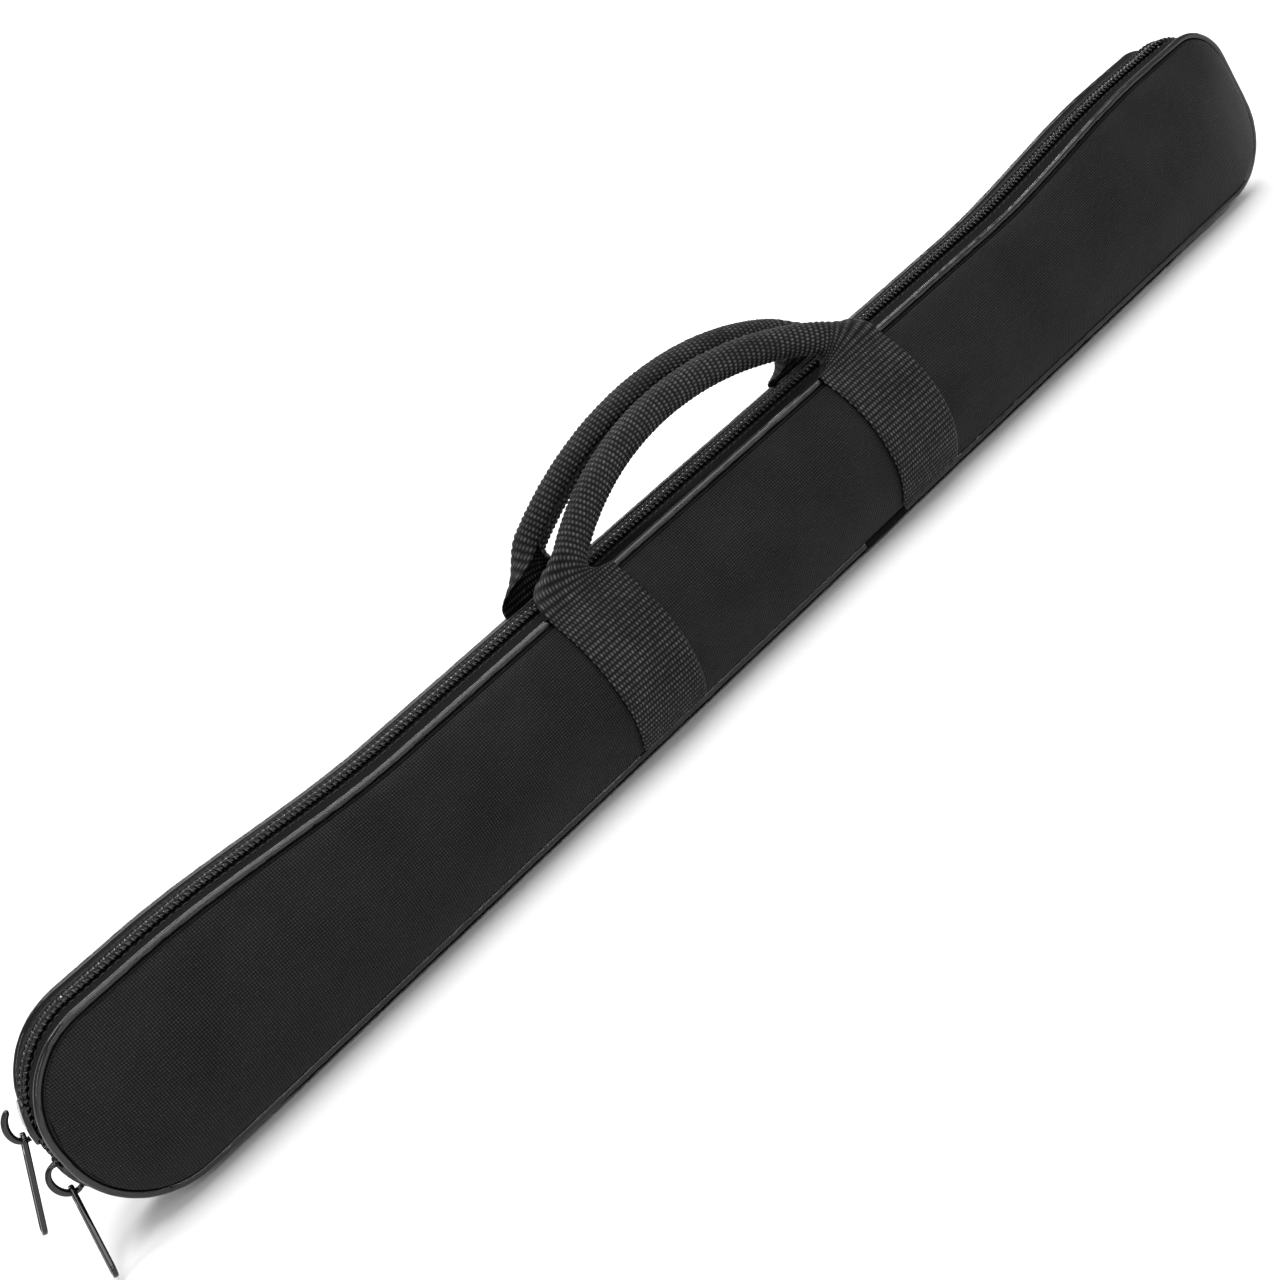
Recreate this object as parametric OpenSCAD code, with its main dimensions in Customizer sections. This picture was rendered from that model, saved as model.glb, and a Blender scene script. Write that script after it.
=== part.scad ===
// Soft zipped rod case: two padded crowned sides, piped all round, joined by a gusset.
// X runs along the case, Y from the front side to the back side, Z up.
// The origin is on the surface the case stands on, midway between the handle straps.

/* [Body] */
// Distance from the handles' centre to the left end's piping
left_len = 305; // [290:1:320]
// Distance from the handles' centre to the right end's piping
right_len = 292; // [280:1:310]
// Height between the pipings along the waist
waist_h = 58; // [54:1:62]
// Height between the pipings at the flared ends
end_h = 65; // [64:1:70]
// Corner radius at the left end
left_r = 30; // [26:1:31]
// Corner radius at the top of the right end
right_top_r = 17; // [14:1:24]
// Corner radius at the bottom of the right end
right_low_r = 27; // [20:1:32]
// Distance between the front and back piping
gusset_w = 30; // [28:1:34]
// How far each padded side swells out past its piping
crown = 13.5; // [10:0.5:15]
// How far the bottom gusset sags below the piping
base_sag = 4.5; // [3:0.5:6]
// Radius of the piping bead
bead_r = 1.5; // [1.2:0.1:1.8]

/* [Layers] */
// Thickness of the outer fabric
skin_t = 1.2; // [0.8:0.1:1.4]
// Thickness of the foam padding
foam_t = 3; // [2:0.5:4]
// Thickness of the lining
lining_t = 0.6; // [0.4:0.1:0.8]

/* [Handles] */
// Width of the webbing
web_w = 31; // [28:1:34]
// Thickness of the webbing
web_t = 1.6; // [1.2:0.1:1.8]
// Distance between the inner edges of a handle's two straps
strap_gap = 106; // [100:1:112]
// Radius of the rolled grip
grip_r = 5.9; // [5:0.1:6.5]
// Height of the front grip's middle above its fold line
front_grip_h = 31.2; // [30:0.1:38]
// Height of the back grip's middle above its fold line
back_grip_h = 36; // [34:0.1:44]
// How much higher a grip is in its middle than at its ends
grip_arch = 18.5; // [15:0.5:20]

/* [Zip] */
// Width of the closed coil
coil_w = 7.2; // [6:0.2:8]
// Thickness of the coil
coil_t = 2; // [1.6:0.1:2.2]
// Width of a slider's plates
slider_w = 10.4; // [9:0.2:11]
// Length of a slider along the zip
slider_len = 15; // [13:0.5:16]
// Length of a pull beyond its eye
pull_len = 30; // [26:0.5:31]
// Width of a pull
pull_w = 5.6; // [5:0.2:6.4]

/* [Hidden] */

bead_y = gusset_w / 2;
bead_z = base_sag + bead_r;                 // piping's centre line along the bottom
gap = 0.15;                                 // between layers that share their stations
pad_gap = 0.55;                             // between the crowned fabric and its foam, and its lining
seam = bead_r + 0.2;                        // the panel's edge, inward from the piping's centre
pad_seam = 5.5;                             // the padding's edge, inward from the piping's centre
flare_from = 150;                           // where the top line starts to rise
flare_to = 250;
end_fade = 45;                              // the crown fades out over this length at each end
crown_power = 2.2;

fabric_in = 0;                              // offsets outward from the piping's centre line
fabric_out = 1;
tape_in = -0.7;
tape_out = -0.1;
coil_base = 0;
strip_edge = 6;                             // inner edge of the gusset strips beside the zip
tape_edge = 10;
centre_gap = 0.45;                          // half the gap between the two halves of the zip

stop_low = 62;                              // angle below level where the zip ends, left
stop_right = 58;                            // the same at the right end
arc_steps = 7;
line_steps = 28;
base_trim = 12;                             // the bottom gusset starts this far past the zip's ends

strap_in = strap_gap / 2;
strap_mid = strap_in + web_w / 2;
bead_clear = 0.3;                           // the straps pass this far outside the bead
fold_y = bead_y + bead_r + bead_clear + web_t / 2;
fold_z = bead_z + waist_h + 1.1;            // the handles hinge on this line
grip_half = 62;                             // half the span of a grip's arched part
grip_bend = (grip_half * grip_half + grip_arch * grip_arch) / (2 * grip_arch);
core_r = grip_r - web_t - 0.4;
grip_rest = 0.2;                            // half the space between the two grips
front_lean = asin((fold_y - grip_r - grip_rest) / front_grip_h);
back_lean = asin((fold_y - grip_r - grip_rest) / back_grip_h);

upper_at = 17;                              // the sliders' places on the left end's arcs, in degrees
lower_at = -13;
plate_low = [-3.3, -2.2];                   // a slider's plates, as offsets from the piping's line
plate_top = [2.4, 3.6];
blade_t = 0.4;
loop_r = 5;                                 // the loop that a pull hangs on
loop_wire = 0.8;
loop_lift = 0.8;
eye_r = 1.5;
pull_t = 1.4;
upper_pull_at = 10;                         // where each pull's eye sits along its loop
lower_pull_at = 30;
lower_swing = 44;                           // the lower pull leans to the front, its tip on the table

cloth = [0.05, 0.05, 0.055];
trim = [0.03, 0.03, 0.035];
web_color = [0.08, 0.08, 0.085];
foam_color = [0.35, 0.35, 0.37];
metal = [0.12, 0.12, 0.13];

// ---- outline of the piping's centre line, seen from the front ----

function clamp01(t) = max(0, min(1, t));
function smooth(t) = t * t * (3 - 2 * t);
function flare(x) = smooth(clamp01((abs(x) - flare_from) / (flare_to - flare_from)));
function top_line(x) = bead_z + waist_h + (end_h - waist_h) * flare(x);
function top_slope(x) = (top_line(x + 1) - top_line(x - 1)) / 2;

// height of the lower and upper outline, moved inward by d
function low_z(x, d) =
    x < left_r - left_len ?
        bead_z + left_r - sqrt(max(0, pow(left_r - d, 2) - pow(x + left_len - left_r, 2))) :
    x > right_len - right_low_r ?
        bead_z + right_low_r
            - sqrt(max(0, pow(right_low_r - d, 2) - pow(x - right_len + right_low_r, 2))) :
    bead_z + d;
function high_z(x, d) =
    x < left_r - left_len ?
        bead_z + end_h - left_r + sqrt(max(0, pow(left_r - d, 2) - pow(x + left_len - left_r, 2))) :
    x > right_len - right_top_r ?
        bead_z + end_h - right_top_r
            + sqrt(max(0, pow(right_top_r - d, 2) - pow(x - right_len + right_top_r, 2))) :
    top_line(x) - d;

// a station on the outline is [x, z, direction of the outward normal]
function arc(cx, cz, r, from, to) =
    [for (i = [0 : arc_steps]) let (a = from + (to - from) * i / arc_steps)
        [cx + r * cos(a), cz + r * sin(a), a]];
function zip_path() = concat(
    arc(left_r - left_len, bead_z + left_r, left_r, 180 + stop_low, 180),
    arc(left_r - left_len, bead_z + end_h - left_r, left_r, 180, 90),
    [for (i = [1 : line_steps - 1])
        let (x = left_r - left_len + (right_len - right_top_r + left_len - left_r) * i / line_steps)
        [x, top_line(x), 90 + atan(top_slope(x))]],
    arc(right_len - right_top_r, bead_z + end_h - right_top_r, right_top_r, 90, 0),
    arc(right_len - right_low_r, bead_z + right_low_r, right_low_r, 0, -stop_right));
function base_path() = concat(
    arc(left_r - left_len, bead_z + left_r, left_r, 180 + stop_low + base_trim, 270),
    [for (x = [-260 : 20 : 240]) [x, bead_z, 270]],
    arc(right_len - right_low_r, bead_z + right_low_r, right_low_r, 270, 360 - stop_right - base_trim));
function loop_path() = concat(zip_path(),
    arc(right_len - right_low_r, bead_z + right_low_r, right_low_r, -stop_right - 8, -90),
    [for (x = [240 : -60 : -240]) [x, bead_z, 270]],
    arc(left_r - left_len, bead_z + left_r, left_r, 270, 188 + stop_low));

// a point of a band's section, y and outward offset, placed at a station
function placed(s, p) = [s[0] + p[1] * cos(s[2]), p[0], s[1] + p[1] * sin(s[2])];

// a closed body skinned over rings that all have the same number of points; the second half of
// each ring is split along the other diagonal, so that an inner face follows its outer face
module skinned(rings, closed = false) {
    n = len(rings);
    m = len(rings[0]);
    last = closed ? n - 1 : n - 2;
    sides = [for (i = [0 : last]) for (j = [0 : m - 1])
        let (k = (i + 1) % n, l = (j + 1) % m)
        each 2 * j < m ?
            [[i * m + j, k * m + j, k * m + l], [i * m + j, k * m + l, i * m + l]] :
            [[i * m + j, k * m + j, i * m + l], [k * m + j, k * m + l, i * m + l]]];
    caps = closed ? [] : [[for (j = [0 : m - 1]) j], [for (j = [m - 1 : -1 : 0]) (n - 1) * m + j]];
    polyhedron([for (ring = rings) each ring], concat(sides, caps), convexity = 8);
}

// a band swept along stations; sections is one closed section for each station
module swept(stations, sections, closed = false) {
    rings = [for (i = [0 : len(stations) - 1]) [for (p = sections[i]) placed(stations[i], p)]];
    skinned(rings, closed);
}

module band(stations, y0, y1, d0, d1) {
    section = [[y0, d0], [y1, d0], [y1, d1], [y0, d1]];
    swept(stations, [for (s = stations) section]);
}

// ---- the padded sides ----

function swell(x, z) =
    let (low = low_z(x, 0), high = high_z(x, 0))
    let (v = clamp01((z - low) / (high - low)))
    let (e = clamp01(min(x + left_len, right_len - x) / end_fade))
    crown * (1 - pow(abs(2 * v - 1), crown_power)) * (1 - pow(1 - e, crown_power));

side_steps = 34;
rise_steps = 10;

// one crowned layer of a side: inset from the piping, depth below the outer face, thickness
module side_layer(inset, depth, thick) {
    x0 = inset - left_len;
    x1 = right_len - inset;
    function at(i, j, back) =
        let (x = (x0 + x1) / 2 - (x1 - x0) / 2 * cos(180 * i / side_steps))
        let (z = low_z(x, inset) + (high_z(x, inset) - low_z(x, inset)) * j / rise_steps)
        [x, depth + back - bead_y - skin_t - swell(x, z), z];
    rows = rise_steps + 1;
    size = (side_steps + 1) * rows;
    points = concat(
        [for (i = [0 : side_steps]) for (j = [0 : rise_steps]) at(i, j, 0)],
        [for (i = [0 : side_steps]) for (j = [0 : rise_steps]) at(i, j, thick)]);
    outer = [for (i = [0 : side_steps - 1]) for (j = [0 : rise_steps - 1])
        let (a = i * rows + j, b = a + rows) each [[a, b + 1, b], [a, a + 1, b + 1]]];
    inner = [for (f = outer) [size + f[0], size + f[2], size + f[1]]];
    edge = concat(
        [for (i = [0 : side_steps]) i * rows],
        [for (j = [1 : rise_steps]) side_steps * rows + j],
        [for (i = [side_steps - 1 : -1 : 0]) i * rows + rise_steps],
        [for (j = [rise_steps - 1 : -1 : 1]) j]);
    wall = [for (k = [0 : len(edge) - 1])
        let (a = edge[k], b = edge[(k + 1) % len(edge)])
        each [[a, b, size + b], [a, size + b, size + a]]];
    polyhedron(points, concat(outer, inner, wall), convexity = 6);
}

module side_panel() { color(cloth) side_layer(seam, 0, skin_t); }
module side_foam() { color(foam_color) side_layer(pad_seam, skin_t + pad_gap, foam_t); }
module side_lining() {
    color(trim) side_layer(pad_seam, skin_t + foam_t + 2 * pad_gap, lining_t);
}

bead_sides = 10;
module side_piping() {
    section = [for (j = [0 : bead_sides - 1])
        [bead_r * cos(360 * j / bead_sides) - bead_y, bead_r * sin(360 * j / bead_sides)]];
    stations = loop_path();
    color(trim) swept(stations, [for (s = stations) section], true);
}

// a folded tab of fabric that hides the bead's cut ends, under the bottom edge
join_x = [33, 55];
module side_piping_join() {
    r0 = bead_r + 0.1;
    r1 = r0 + 0.5;
    color(cloth) translate([join_x[0], -bead_y, bead_z]) rotate([0, 90, 0])
        rotate([0, 0, 110]) rotate_extrude(angle = 80) translate([r0, 0])
            square([r1 - r0, join_x[1] - join_x[0]]);
}

// ---- gusset and zip ----

module half_strip() {
    color(cloth) band(zip_path(), seam - bead_y, -strip_edge, fabric_in, fabric_out);
}
module half_tape() { color(trim) band(zip_path(), -tape_edge, -centre_gap, tape_in, tape_out); }
module half_coil() {
    color(trim) band(zip_path(), -coil_w / 2, -centre_gap, coil_base, coil_base + coil_t);
}

stop_len = 3;
module half_stop(cx, r, a) {
    translate([cx, 0, bead_z + r]) rotate([0, -a, 0])
        translate([r - 1, -coil_w / 2, 0])
            cube([coil_t + 1.6, coil_w / 2 - centre_gap, stop_len]);
}
module half_stops() {
    color(metal) {
        half_stop(left_r - left_len, left_r, 180 + stop_low + 1);
        half_stop(right_len - right_low_r, right_low_r, -stop_right - 8);
    }
}

// the sag fades out towards the ends, and the middle of the section is flat
base_flat = 7;
least_sag = 0.3;
sag_from = 20;
sag_over = 50;
function sag(s) =
    let (t = clamp01((min(s[0] + left_len, right_len - s[0]) - sag_from) / sag_over))
    least_sag + (base_sag - least_sag) * smooth(t);
function base_section(s, depth, thick, edge) =
    let (a = fabric_out - depth, b = sag(s))
    [[-edge, a], [-base_flat, a + b], [base_flat, a + b], [edge, a],
     [edge, a - thick], [base_flat, a + b - thick], [-base_flat, a + b - thick], [-edge, a - thick]];
module base_layer(depth, thick, edge) {
    stations = base_path();
    swept(stations, [for (s = stations) base_section(s, depth, thick, edge)]);
}
base_lift = bead_r - fabric_out;
module bottom_gusset() {
    color(cloth) base_layer(-base_lift, fabric_out + base_lift, bead_y - seam);
}
module bottom_foam() { color(foam_color) base_layer(fabric_out + gap, foam_t, bead_y - 2); }
module bottom_lining() {
    color(trim) base_layer(fabric_out + foam_t + 2 * gap, lining_t, bead_y - 2);
}

// ---- handles ----

// the strap's inner face runs just outside the panel, and over the bead at the top
strap_steps = 16;
function strap_face(z) = max(bead_y + bead_r + bead_clear, bead_y + skin_t + 0.2 + swell(0, z));
module strap(x0) {
    z0 = bead_z + bead_r + 0.6;
    z1 = fold_z - 1;
    rows = [for (i = [0 : strap_steps]) z0 + (z1 - z0) * i / strap_steps];
    section = concat(
        [for (z = rows) [-strap_face(z), z]],
        [for (i = [strap_steps : -1 : 0]) [-strap_face(rows[i]) - web_t, rows[i]]]);
    color(web_color) translate([x0, 0, 0]) rotate([90, 0, 90])
        linear_extrude(web_w) polygon(section);
}

// upright handle, its fold line along the X axis: the flat webbing curls round the core
fold_start = 0.4;
fold_steps = 8;
fold_pull = 6;                              // how long each end of the fold keeps its direction
grip_steps = 16;
curl_steps = 13;
grip_half_angle = asin(grip_half / grip_bend);
curl_r = grip_r - web_t / 2;

function bezier(a, b, c, d, u) =
    pow(1 - u, 3) * a + 3 * u * pow(1 - u, 2) * b + 3 * u * u * (1 - u) * c + pow(u, 3) * d;
function bezier_run(a, b, c, d, u) =
    pow(1 - u, 2) * (b - a) + 2 * u * (1 - u) * (c - b) + u * u * (d - c);

// a handle station is [x, z, direction of travel, curl from 0, flat, to 1, closed]
function fold_stations(h) =
    let (a = [-strap_mid, fold_start])
    let (b = a + [0, fold_pull])
    let (d = [-grip_half, h - grip_arch])
    let (c = d - fold_pull * [cos(grip_half_angle), sin(grip_half_angle)])
    [for (i = [0 : fold_steps])
        let (u = i / fold_steps, p = bezier(a, b, c, d, u), t = bezier_run(a, b, c, d, u))
        [p[0], p[1], atan2(t[1], t[0]), smooth(u)]];
function handle_stations(h) = concat(
    fold_stations(h),
    [for (i = [1 : grip_steps - 1]) let (a = grip_half_angle * (2 * i / grip_steps - 1))
        [grip_bend * sin(a), h - grip_bend + grip_bend * cos(a), -a, 1]],
    [for (i = [fold_steps : -1 : 0]) let (s = fold_stations(h)[i]) [-s[0], s[1], -s[2], s[3]]]);

// the webbing's section at a station: its inner face, then its outer face back
function curled(s) =
    let (bend = max(0.002, s[3] / curl_r) * 180 / PI)
    let (lift = -curl_r * s[3])
    let (faces = [for (side = [-1, 1]) for (i = [0 : curl_steps])
        let (a = side * bend * web_w * (0.5 - i / curl_steps))
        let (r = 180 / PI / bend + side * web_t / 2)
        [r * sin(a), lift + 180 / PI / bend - r * cos(a)]])
    [for (p = faces) [s[0] - p[0] * sin(s[2]), p[1], s[1] + p[0] * cos(s[2])]];

module handle_webbing(h) {
    color(web_color) skinned([for (s = handle_stations(h)) curled(s)]);
}
module handle_core(h) {
    color(foam_color) translate([0, 0, h - grip_bend])
        rotate([90, 0, 0]) rotate([0, 0, 90 - grip_half_angle])
            rotate_extrude(angle = 2 * grip_half_angle, $fn = 160)
                translate([grip_bend, 0]) circle(core_r, $fn = 32);
}

module front_handle_pose() { translate([0, -fold_y, fold_z]) rotate([-front_lean, 0, 0]) children(); }
module back_handle_pose() { translate([0, fold_y, fold_z]) rotate([back_lean, 0, 0]) children(); }

// ---- sliders and pulls, built at the left end with the arc's centre at the origin ----

module arc_plate(r0, r1, w, half) {
    rotate([90, 0, 0]) rotate([0, 0, 180 - half])
        rotate_extrude(angle = 2 * half, $fn = 180) translate([r0, -w / 2]) square([r1 - r0, w]);
}
plate_half = slider_len / 2 / (left_r + plate_top[0]) * 180 / PI;
loop_x = left_r + plate_top[1] + loop_lift;
module slider(nose) {
    color(metal) {
        arc_plate(left_r + plate_low[0], left_r + plate_low[1], slider_w, plate_half);
        arc_plate(left_r + plate_top[0], left_r + plate_top[1], slider_w, plate_half);
        rotate([0, nose * (plate_half - 3), 0])
            translate([-left_r - plate_top[0] - 0.5, -blade_t / 2, -1])
                cube([plate_top[0] - plate_low[1] + 1, blade_t, 2]);
        translate([-loop_x, 0, 0]) rotate([90, 0, 0]) rotate([0, 0, 90])
            rotate_extrude(angle = 180, $fn = 96) translate([loop_r, 0]) circle(loop_wire, $fn = 24);
        for (side = [-1, 1])
            translate([-loop_x, 0, side * loop_r]) rotate([0, 90, 0])
                cylinder(r = loop_wire, h = loop_lift + 0.6, $fn = 24);
    }
}

// a flat slotted tag, its eye at the origin, hanging along -Z, 1.4 thick along X
slot_w = 2.2;
slot_from = 6;
module pull_plate() {
    tip = pull_len - pull_w / 2;
    color(metal) rotate([90, 0, 90]) linear_extrude(pull_t, center = true) difference() {
        union() {
            circle(pull_w / 2, $fn = 48);
            translate([0, -tip]) circle(pull_w / 2, $fn = 48);
            translate([-pull_w / 2, -tip]) square([pull_w, tip]);
        }
        circle(eye_r, $fn = 32);
        translate([0, -slot_from]) circle(slot_w / 2, $fn = 24);
        translate([0, -tip + 0.6]) circle(slot_w / 2, $fn = 24);
        translate([-slot_w / 2, -tip + 0.6]) square([slot_w, tip - 0.6 - slot_from]);
    }
}
// the eye rides on the loop, at an angle up from the loop's lower foot
module on_loop(angle) {
    translate([-loop_x, 0, 0]) rotate([0, angle, 0]) translate([0, 0, -loop_r]) children();
}
module at_upper() {
    translate([left_r - left_len, 0, bead_z + end_h - left_r]) rotate([0, upper_at, 0]) children();
}
module at_lower() {
    translate([left_r - left_len, 0, bead_z + left_r]) rotate([0, lower_at, 0]) children();
}

// ---- the named pieces ----

module front_panel() { side_panel(); }
module front_foam() { side_foam(); }
module front_lining() { side_lining(); }
module front_piping() { side_piping(); }
module front_piping_join() { side_piping_join(); }
module front_gusset_strip() { half_strip(); }
module front_zip_tape() { half_tape(); }
module front_coil() { half_coil(); }
module front_zip_stops() { half_stops(); }
module front_left_strap() { strap(-strap_in - web_w); }
module front_right_strap() { strap(strap_in); }
module front_handle_webbing() { front_handle_pose() handle_webbing(front_grip_h); }
module front_handle_core() { front_handle_pose() handle_core(front_grip_h); }

module flipped() { mirror([0, 1, 0]) children(); }
module back_panel() { flipped() side_panel(); }
module back_foam() { flipped() side_foam(); }
module back_lining() { flipped() side_lining(); }
module back_piping() { flipped() side_piping(); }
module back_piping_join() { flipped() side_piping_join(); }
module back_gusset_strip() { flipped() half_strip(); }
module back_zip_tape() { flipped() half_tape(); }
module back_coil() { flipped() half_coil(); }
module back_zip_stops() { flipped() half_stops(); }
module back_left_strap() { flipped() strap(-strap_in - web_w); }
module back_right_strap() { flipped() strap(strap_in); }
module back_handle_webbing() { back_handle_pose() flipped() handle_webbing(back_grip_h); }
module back_handle_core() { back_handle_pose() handle_core(back_grip_h); }

module upper_slider() { at_upper() slider(-1); }
module upper_pull() { at_upper() on_loop(upper_pull_at) pull_plate(); }
module lower_slider() { at_lower() slider(1); }
module lower_pull() { at_lower() on_loop(lower_pull_at) rotate([-lower_swing, 0, 0]) pull_plate(); }

front_panel();
front_foam();
front_lining();
front_piping();
front_piping_join();
front_gusset_strip();
front_zip_tape();
front_coil();
front_zip_stops();
front_left_strap();
front_right_strap();
front_handle_webbing();
front_handle_core();
back_panel();
back_foam();
back_lining();
back_piping();
back_piping_join();
back_gusset_strip();
back_zip_tape();
back_coil();
back_zip_stops();
back_left_strap();
back_right_strap();
back_handle_webbing();
back_handle_core();
bottom_gusset();
bottom_foam();
bottom_lining();
upper_slider();
upper_pull();
lower_slider();
lower_pull();
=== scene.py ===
"""Looks of the soft rod case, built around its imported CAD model.

Shapes are worked out in millimetres in the CAD frame and made in metres. X runs along the case,
the front side faces -Y and the case stands on z = 0.
"""

import math

import bmesh
import bpy
import numpy as np
from mathutils import Matrix, Vector


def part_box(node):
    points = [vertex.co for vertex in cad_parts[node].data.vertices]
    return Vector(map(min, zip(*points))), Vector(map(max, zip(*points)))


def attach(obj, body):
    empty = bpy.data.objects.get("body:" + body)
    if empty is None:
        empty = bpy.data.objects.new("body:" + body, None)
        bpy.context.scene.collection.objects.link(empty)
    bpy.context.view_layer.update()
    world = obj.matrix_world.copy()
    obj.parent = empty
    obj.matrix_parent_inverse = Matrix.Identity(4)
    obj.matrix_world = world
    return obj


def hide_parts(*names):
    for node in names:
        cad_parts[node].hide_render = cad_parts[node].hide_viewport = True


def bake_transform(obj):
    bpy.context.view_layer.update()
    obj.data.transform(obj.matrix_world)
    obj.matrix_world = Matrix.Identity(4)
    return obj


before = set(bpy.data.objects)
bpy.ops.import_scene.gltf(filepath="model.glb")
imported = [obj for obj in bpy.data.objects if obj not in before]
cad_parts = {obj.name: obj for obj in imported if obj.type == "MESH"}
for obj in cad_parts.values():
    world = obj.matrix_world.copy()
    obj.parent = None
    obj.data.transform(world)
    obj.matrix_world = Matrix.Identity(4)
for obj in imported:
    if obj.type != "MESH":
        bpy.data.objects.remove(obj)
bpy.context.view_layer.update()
MM = 0.001


def node_box(name):
    """Lowest and highest corner of a CAD node, in millimetres."""
    low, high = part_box(name)
    return low / MM, high / MM


# ---- sizes, in millimetres, taken from the frame's boxes where a box holds them ----

BEAD_R = 1.5
pipe_low, pipe_high = node_box("front_piping")
panel_low, _ = node_box("front_panel")
strap_low, strap_high = node_box("front_right_strap")

LEFT = -(pipe_low.x + BEAD_R)            # the piping's centre line reaches this far each way
RIGHT = pipe_high.x - BEAD_R
BEAD_Z = pipe_low.z + BEAD_R
END_H = pipe_high.z - BEAD_R - BEAD_Z    # height of the outline at its ends
WAIST_H = strap_high.z - BEAD_Z - 0.1    # and at the straps
BEAD_Y = -(pipe_low.y + BEAD_R)
SKIN = 1.2                               # thickness of the outer fabric
CROWN = -panel_low.y - BEAD_Y - SKIN
CROWN_POWER = 2.2
END_FADE = 45.0
FLARE_FROM, FLARE_TO = 150.0, 250.0
LEFT_R, RIGHT_TOP_R, RIGHT_LOW_R = 30.0, 17.0, 27.0
SEAM = 1.7                               # the panel's edge, inward from the piping's centre
STOP_LEFT, STOP_RIGHT = 62.0, 58.0       # where the zip ends, degrees below level
BASE_SAG = BEAD_Z - BEAD_R
LINING_DEPTH = 5.5                       # under the panel's outer face, past the foam

WEB_T = 1.6
WEB_W = strap_high.x - strap_low.x
STRAP_MID = (strap_high.x + strap_low.x) / 2
FOLD_Y = BEAD_Y + BEAD_R + 0.3 + WEB_T / 2
FOLD_Z = BEAD_Z + WAIST_H + 1.1
GRIP_R = 5.9
GRIP_HALF, GRIP_ARCH = 62.0, 18.5
GRIP_BEND = (GRIP_HALF ** 2 + GRIP_ARCH ** 2) / (2 * GRIP_ARCH)
GRIP_ANGLE = math.asin(GRIP_HALF / GRIP_BEND)
GRIP_H = {"front": 31.2, "back": 36.0}
TOOTH_PITCH = 2.05
COIL_MID, COIL_HALF = 1.95, 2.3          # the coil's middle, from the zip's, and half its width
COIL_OUT, COIL_RISE = 1.3, 0.78          # and the same outward
RIDGE = 1.1                              # how far the zip stands up between the pipings, mid-length
RIDGE_REACH, RIDGE_FADE = 262, 90        # how far that goes each way, and the length it fades over
RIDGE_CREST, RIDGE_SLOPE = 2.5, 10.5     # half its level crest, and the width it falls away over
SEWN_Y = BEAD_Y - 0.9                    # where the gusset is sewn in beside the bead
STRIP_IN = 6.0                           # the gusset strip's folded edge


def clamp01(t):
    return np.clip(t, 0.0, 1.0)


def smooth(t):
    t = clamp01(t)
    return t * t * (3 - 2 * t)


def squarish(t, power):
    """A sine or cosine made squarer, with its sign kept."""
    return np.sign(t) * np.abs(t) ** power


def full_turn(count):
    return np.linspace(0, 2 * math.pi, count, endpoint=False)


def unit(vectors):
    return vectors / np.linalg.norm(vectors, axis=-1, keepdims=True)


# ---- the outline of the piping's centre line, as the CAD has it ----

def flare(x):
    return smooth((np.abs(x) - FLARE_FROM) / (FLARE_TO - FLARE_FROM))


def top_line(x):
    return BEAD_Z + WAIST_H + (END_H - WAIST_H) * flare(x)


def corner(radius, inset, run):
    return np.sqrt(np.maximum(0.0, (radius - inset) ** 2 - run ** 2))


def low_z(x, d):
    left = BEAD_Z + LEFT_R - corner(LEFT_R, d, x + LEFT - LEFT_R)
    right = BEAD_Z + RIGHT_LOW_R - corner(RIGHT_LOW_R, d, x - RIGHT + RIGHT_LOW_R)
    flat = BEAD_Z + d + 0 * x
    return np.where(x < LEFT_R - LEFT, left, np.where(x > RIGHT - RIGHT_LOW_R, right, flat))


def high_z(x, d):
    left = BEAD_Z + END_H - LEFT_R + corner(LEFT_R, d, x + LEFT - LEFT_R)
    right = BEAD_Z + END_H - RIGHT_TOP_R + corner(RIGHT_TOP_R, d, x - RIGHT + RIGHT_TOP_R)
    return np.where(x < LEFT_R - LEFT, left, np.where(x > RIGHT - RIGHT_TOP_R, right, top_line(x) - d))


def swell(x, z):
    low, high = low_z(x, 0.0), high_z(x, 0.0)
    v = clamp01((z - low) / np.maximum(high - low, 1e-6))
    e = clamp01(np.minimum(x + LEFT, RIGHT - x) / END_FADE)
    return CROWN * (1 - np.abs(2 * v - 1) ** CROWN_POWER) * (1 - (1 - e) ** CROWN_POWER)


def arc_points(cx, cz, r, a0, a1, n):
    a = np.radians(np.linspace(a0, a1, n))
    return np.stack([cx + r * np.cos(a), cz + r * np.sin(a)], 1)


def low_left(a0, a1, n):
    return arc_points(LEFT_R - LEFT, BEAD_Z + LEFT_R, LEFT_R, a0, a1, n)


def low_right(a0, a1, n):
    return arc_points(RIGHT - RIGHT_LOW_R, BEAD_Z + RIGHT_LOW_R, RIGHT_LOW_R, a0, a1, n)


def zip_line():
    """Points along the zip's path: up the left end, along the top and down the right end."""
    top_x = np.linspace(LEFT_R - LEFT, RIGHT - RIGHT_TOP_R, 240)
    return np.concatenate([
        low_left(180 + STOP_LEFT, 180, 30),
        arc_points(LEFT_R - LEFT, BEAD_Z + END_H - LEFT_R, LEFT_R, 180, 90, 36)[1:],
        np.stack([top_x, top_line(top_x)], 1)[1:-1],
        arc_points(RIGHT - RIGHT_TOP_R, BEAD_Z + END_H - RIGHT_TOP_R, RIGHT_TOP_R, 90, 0, 24),
        low_right(0, -STOP_RIGHT, 28),
    ])


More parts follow.
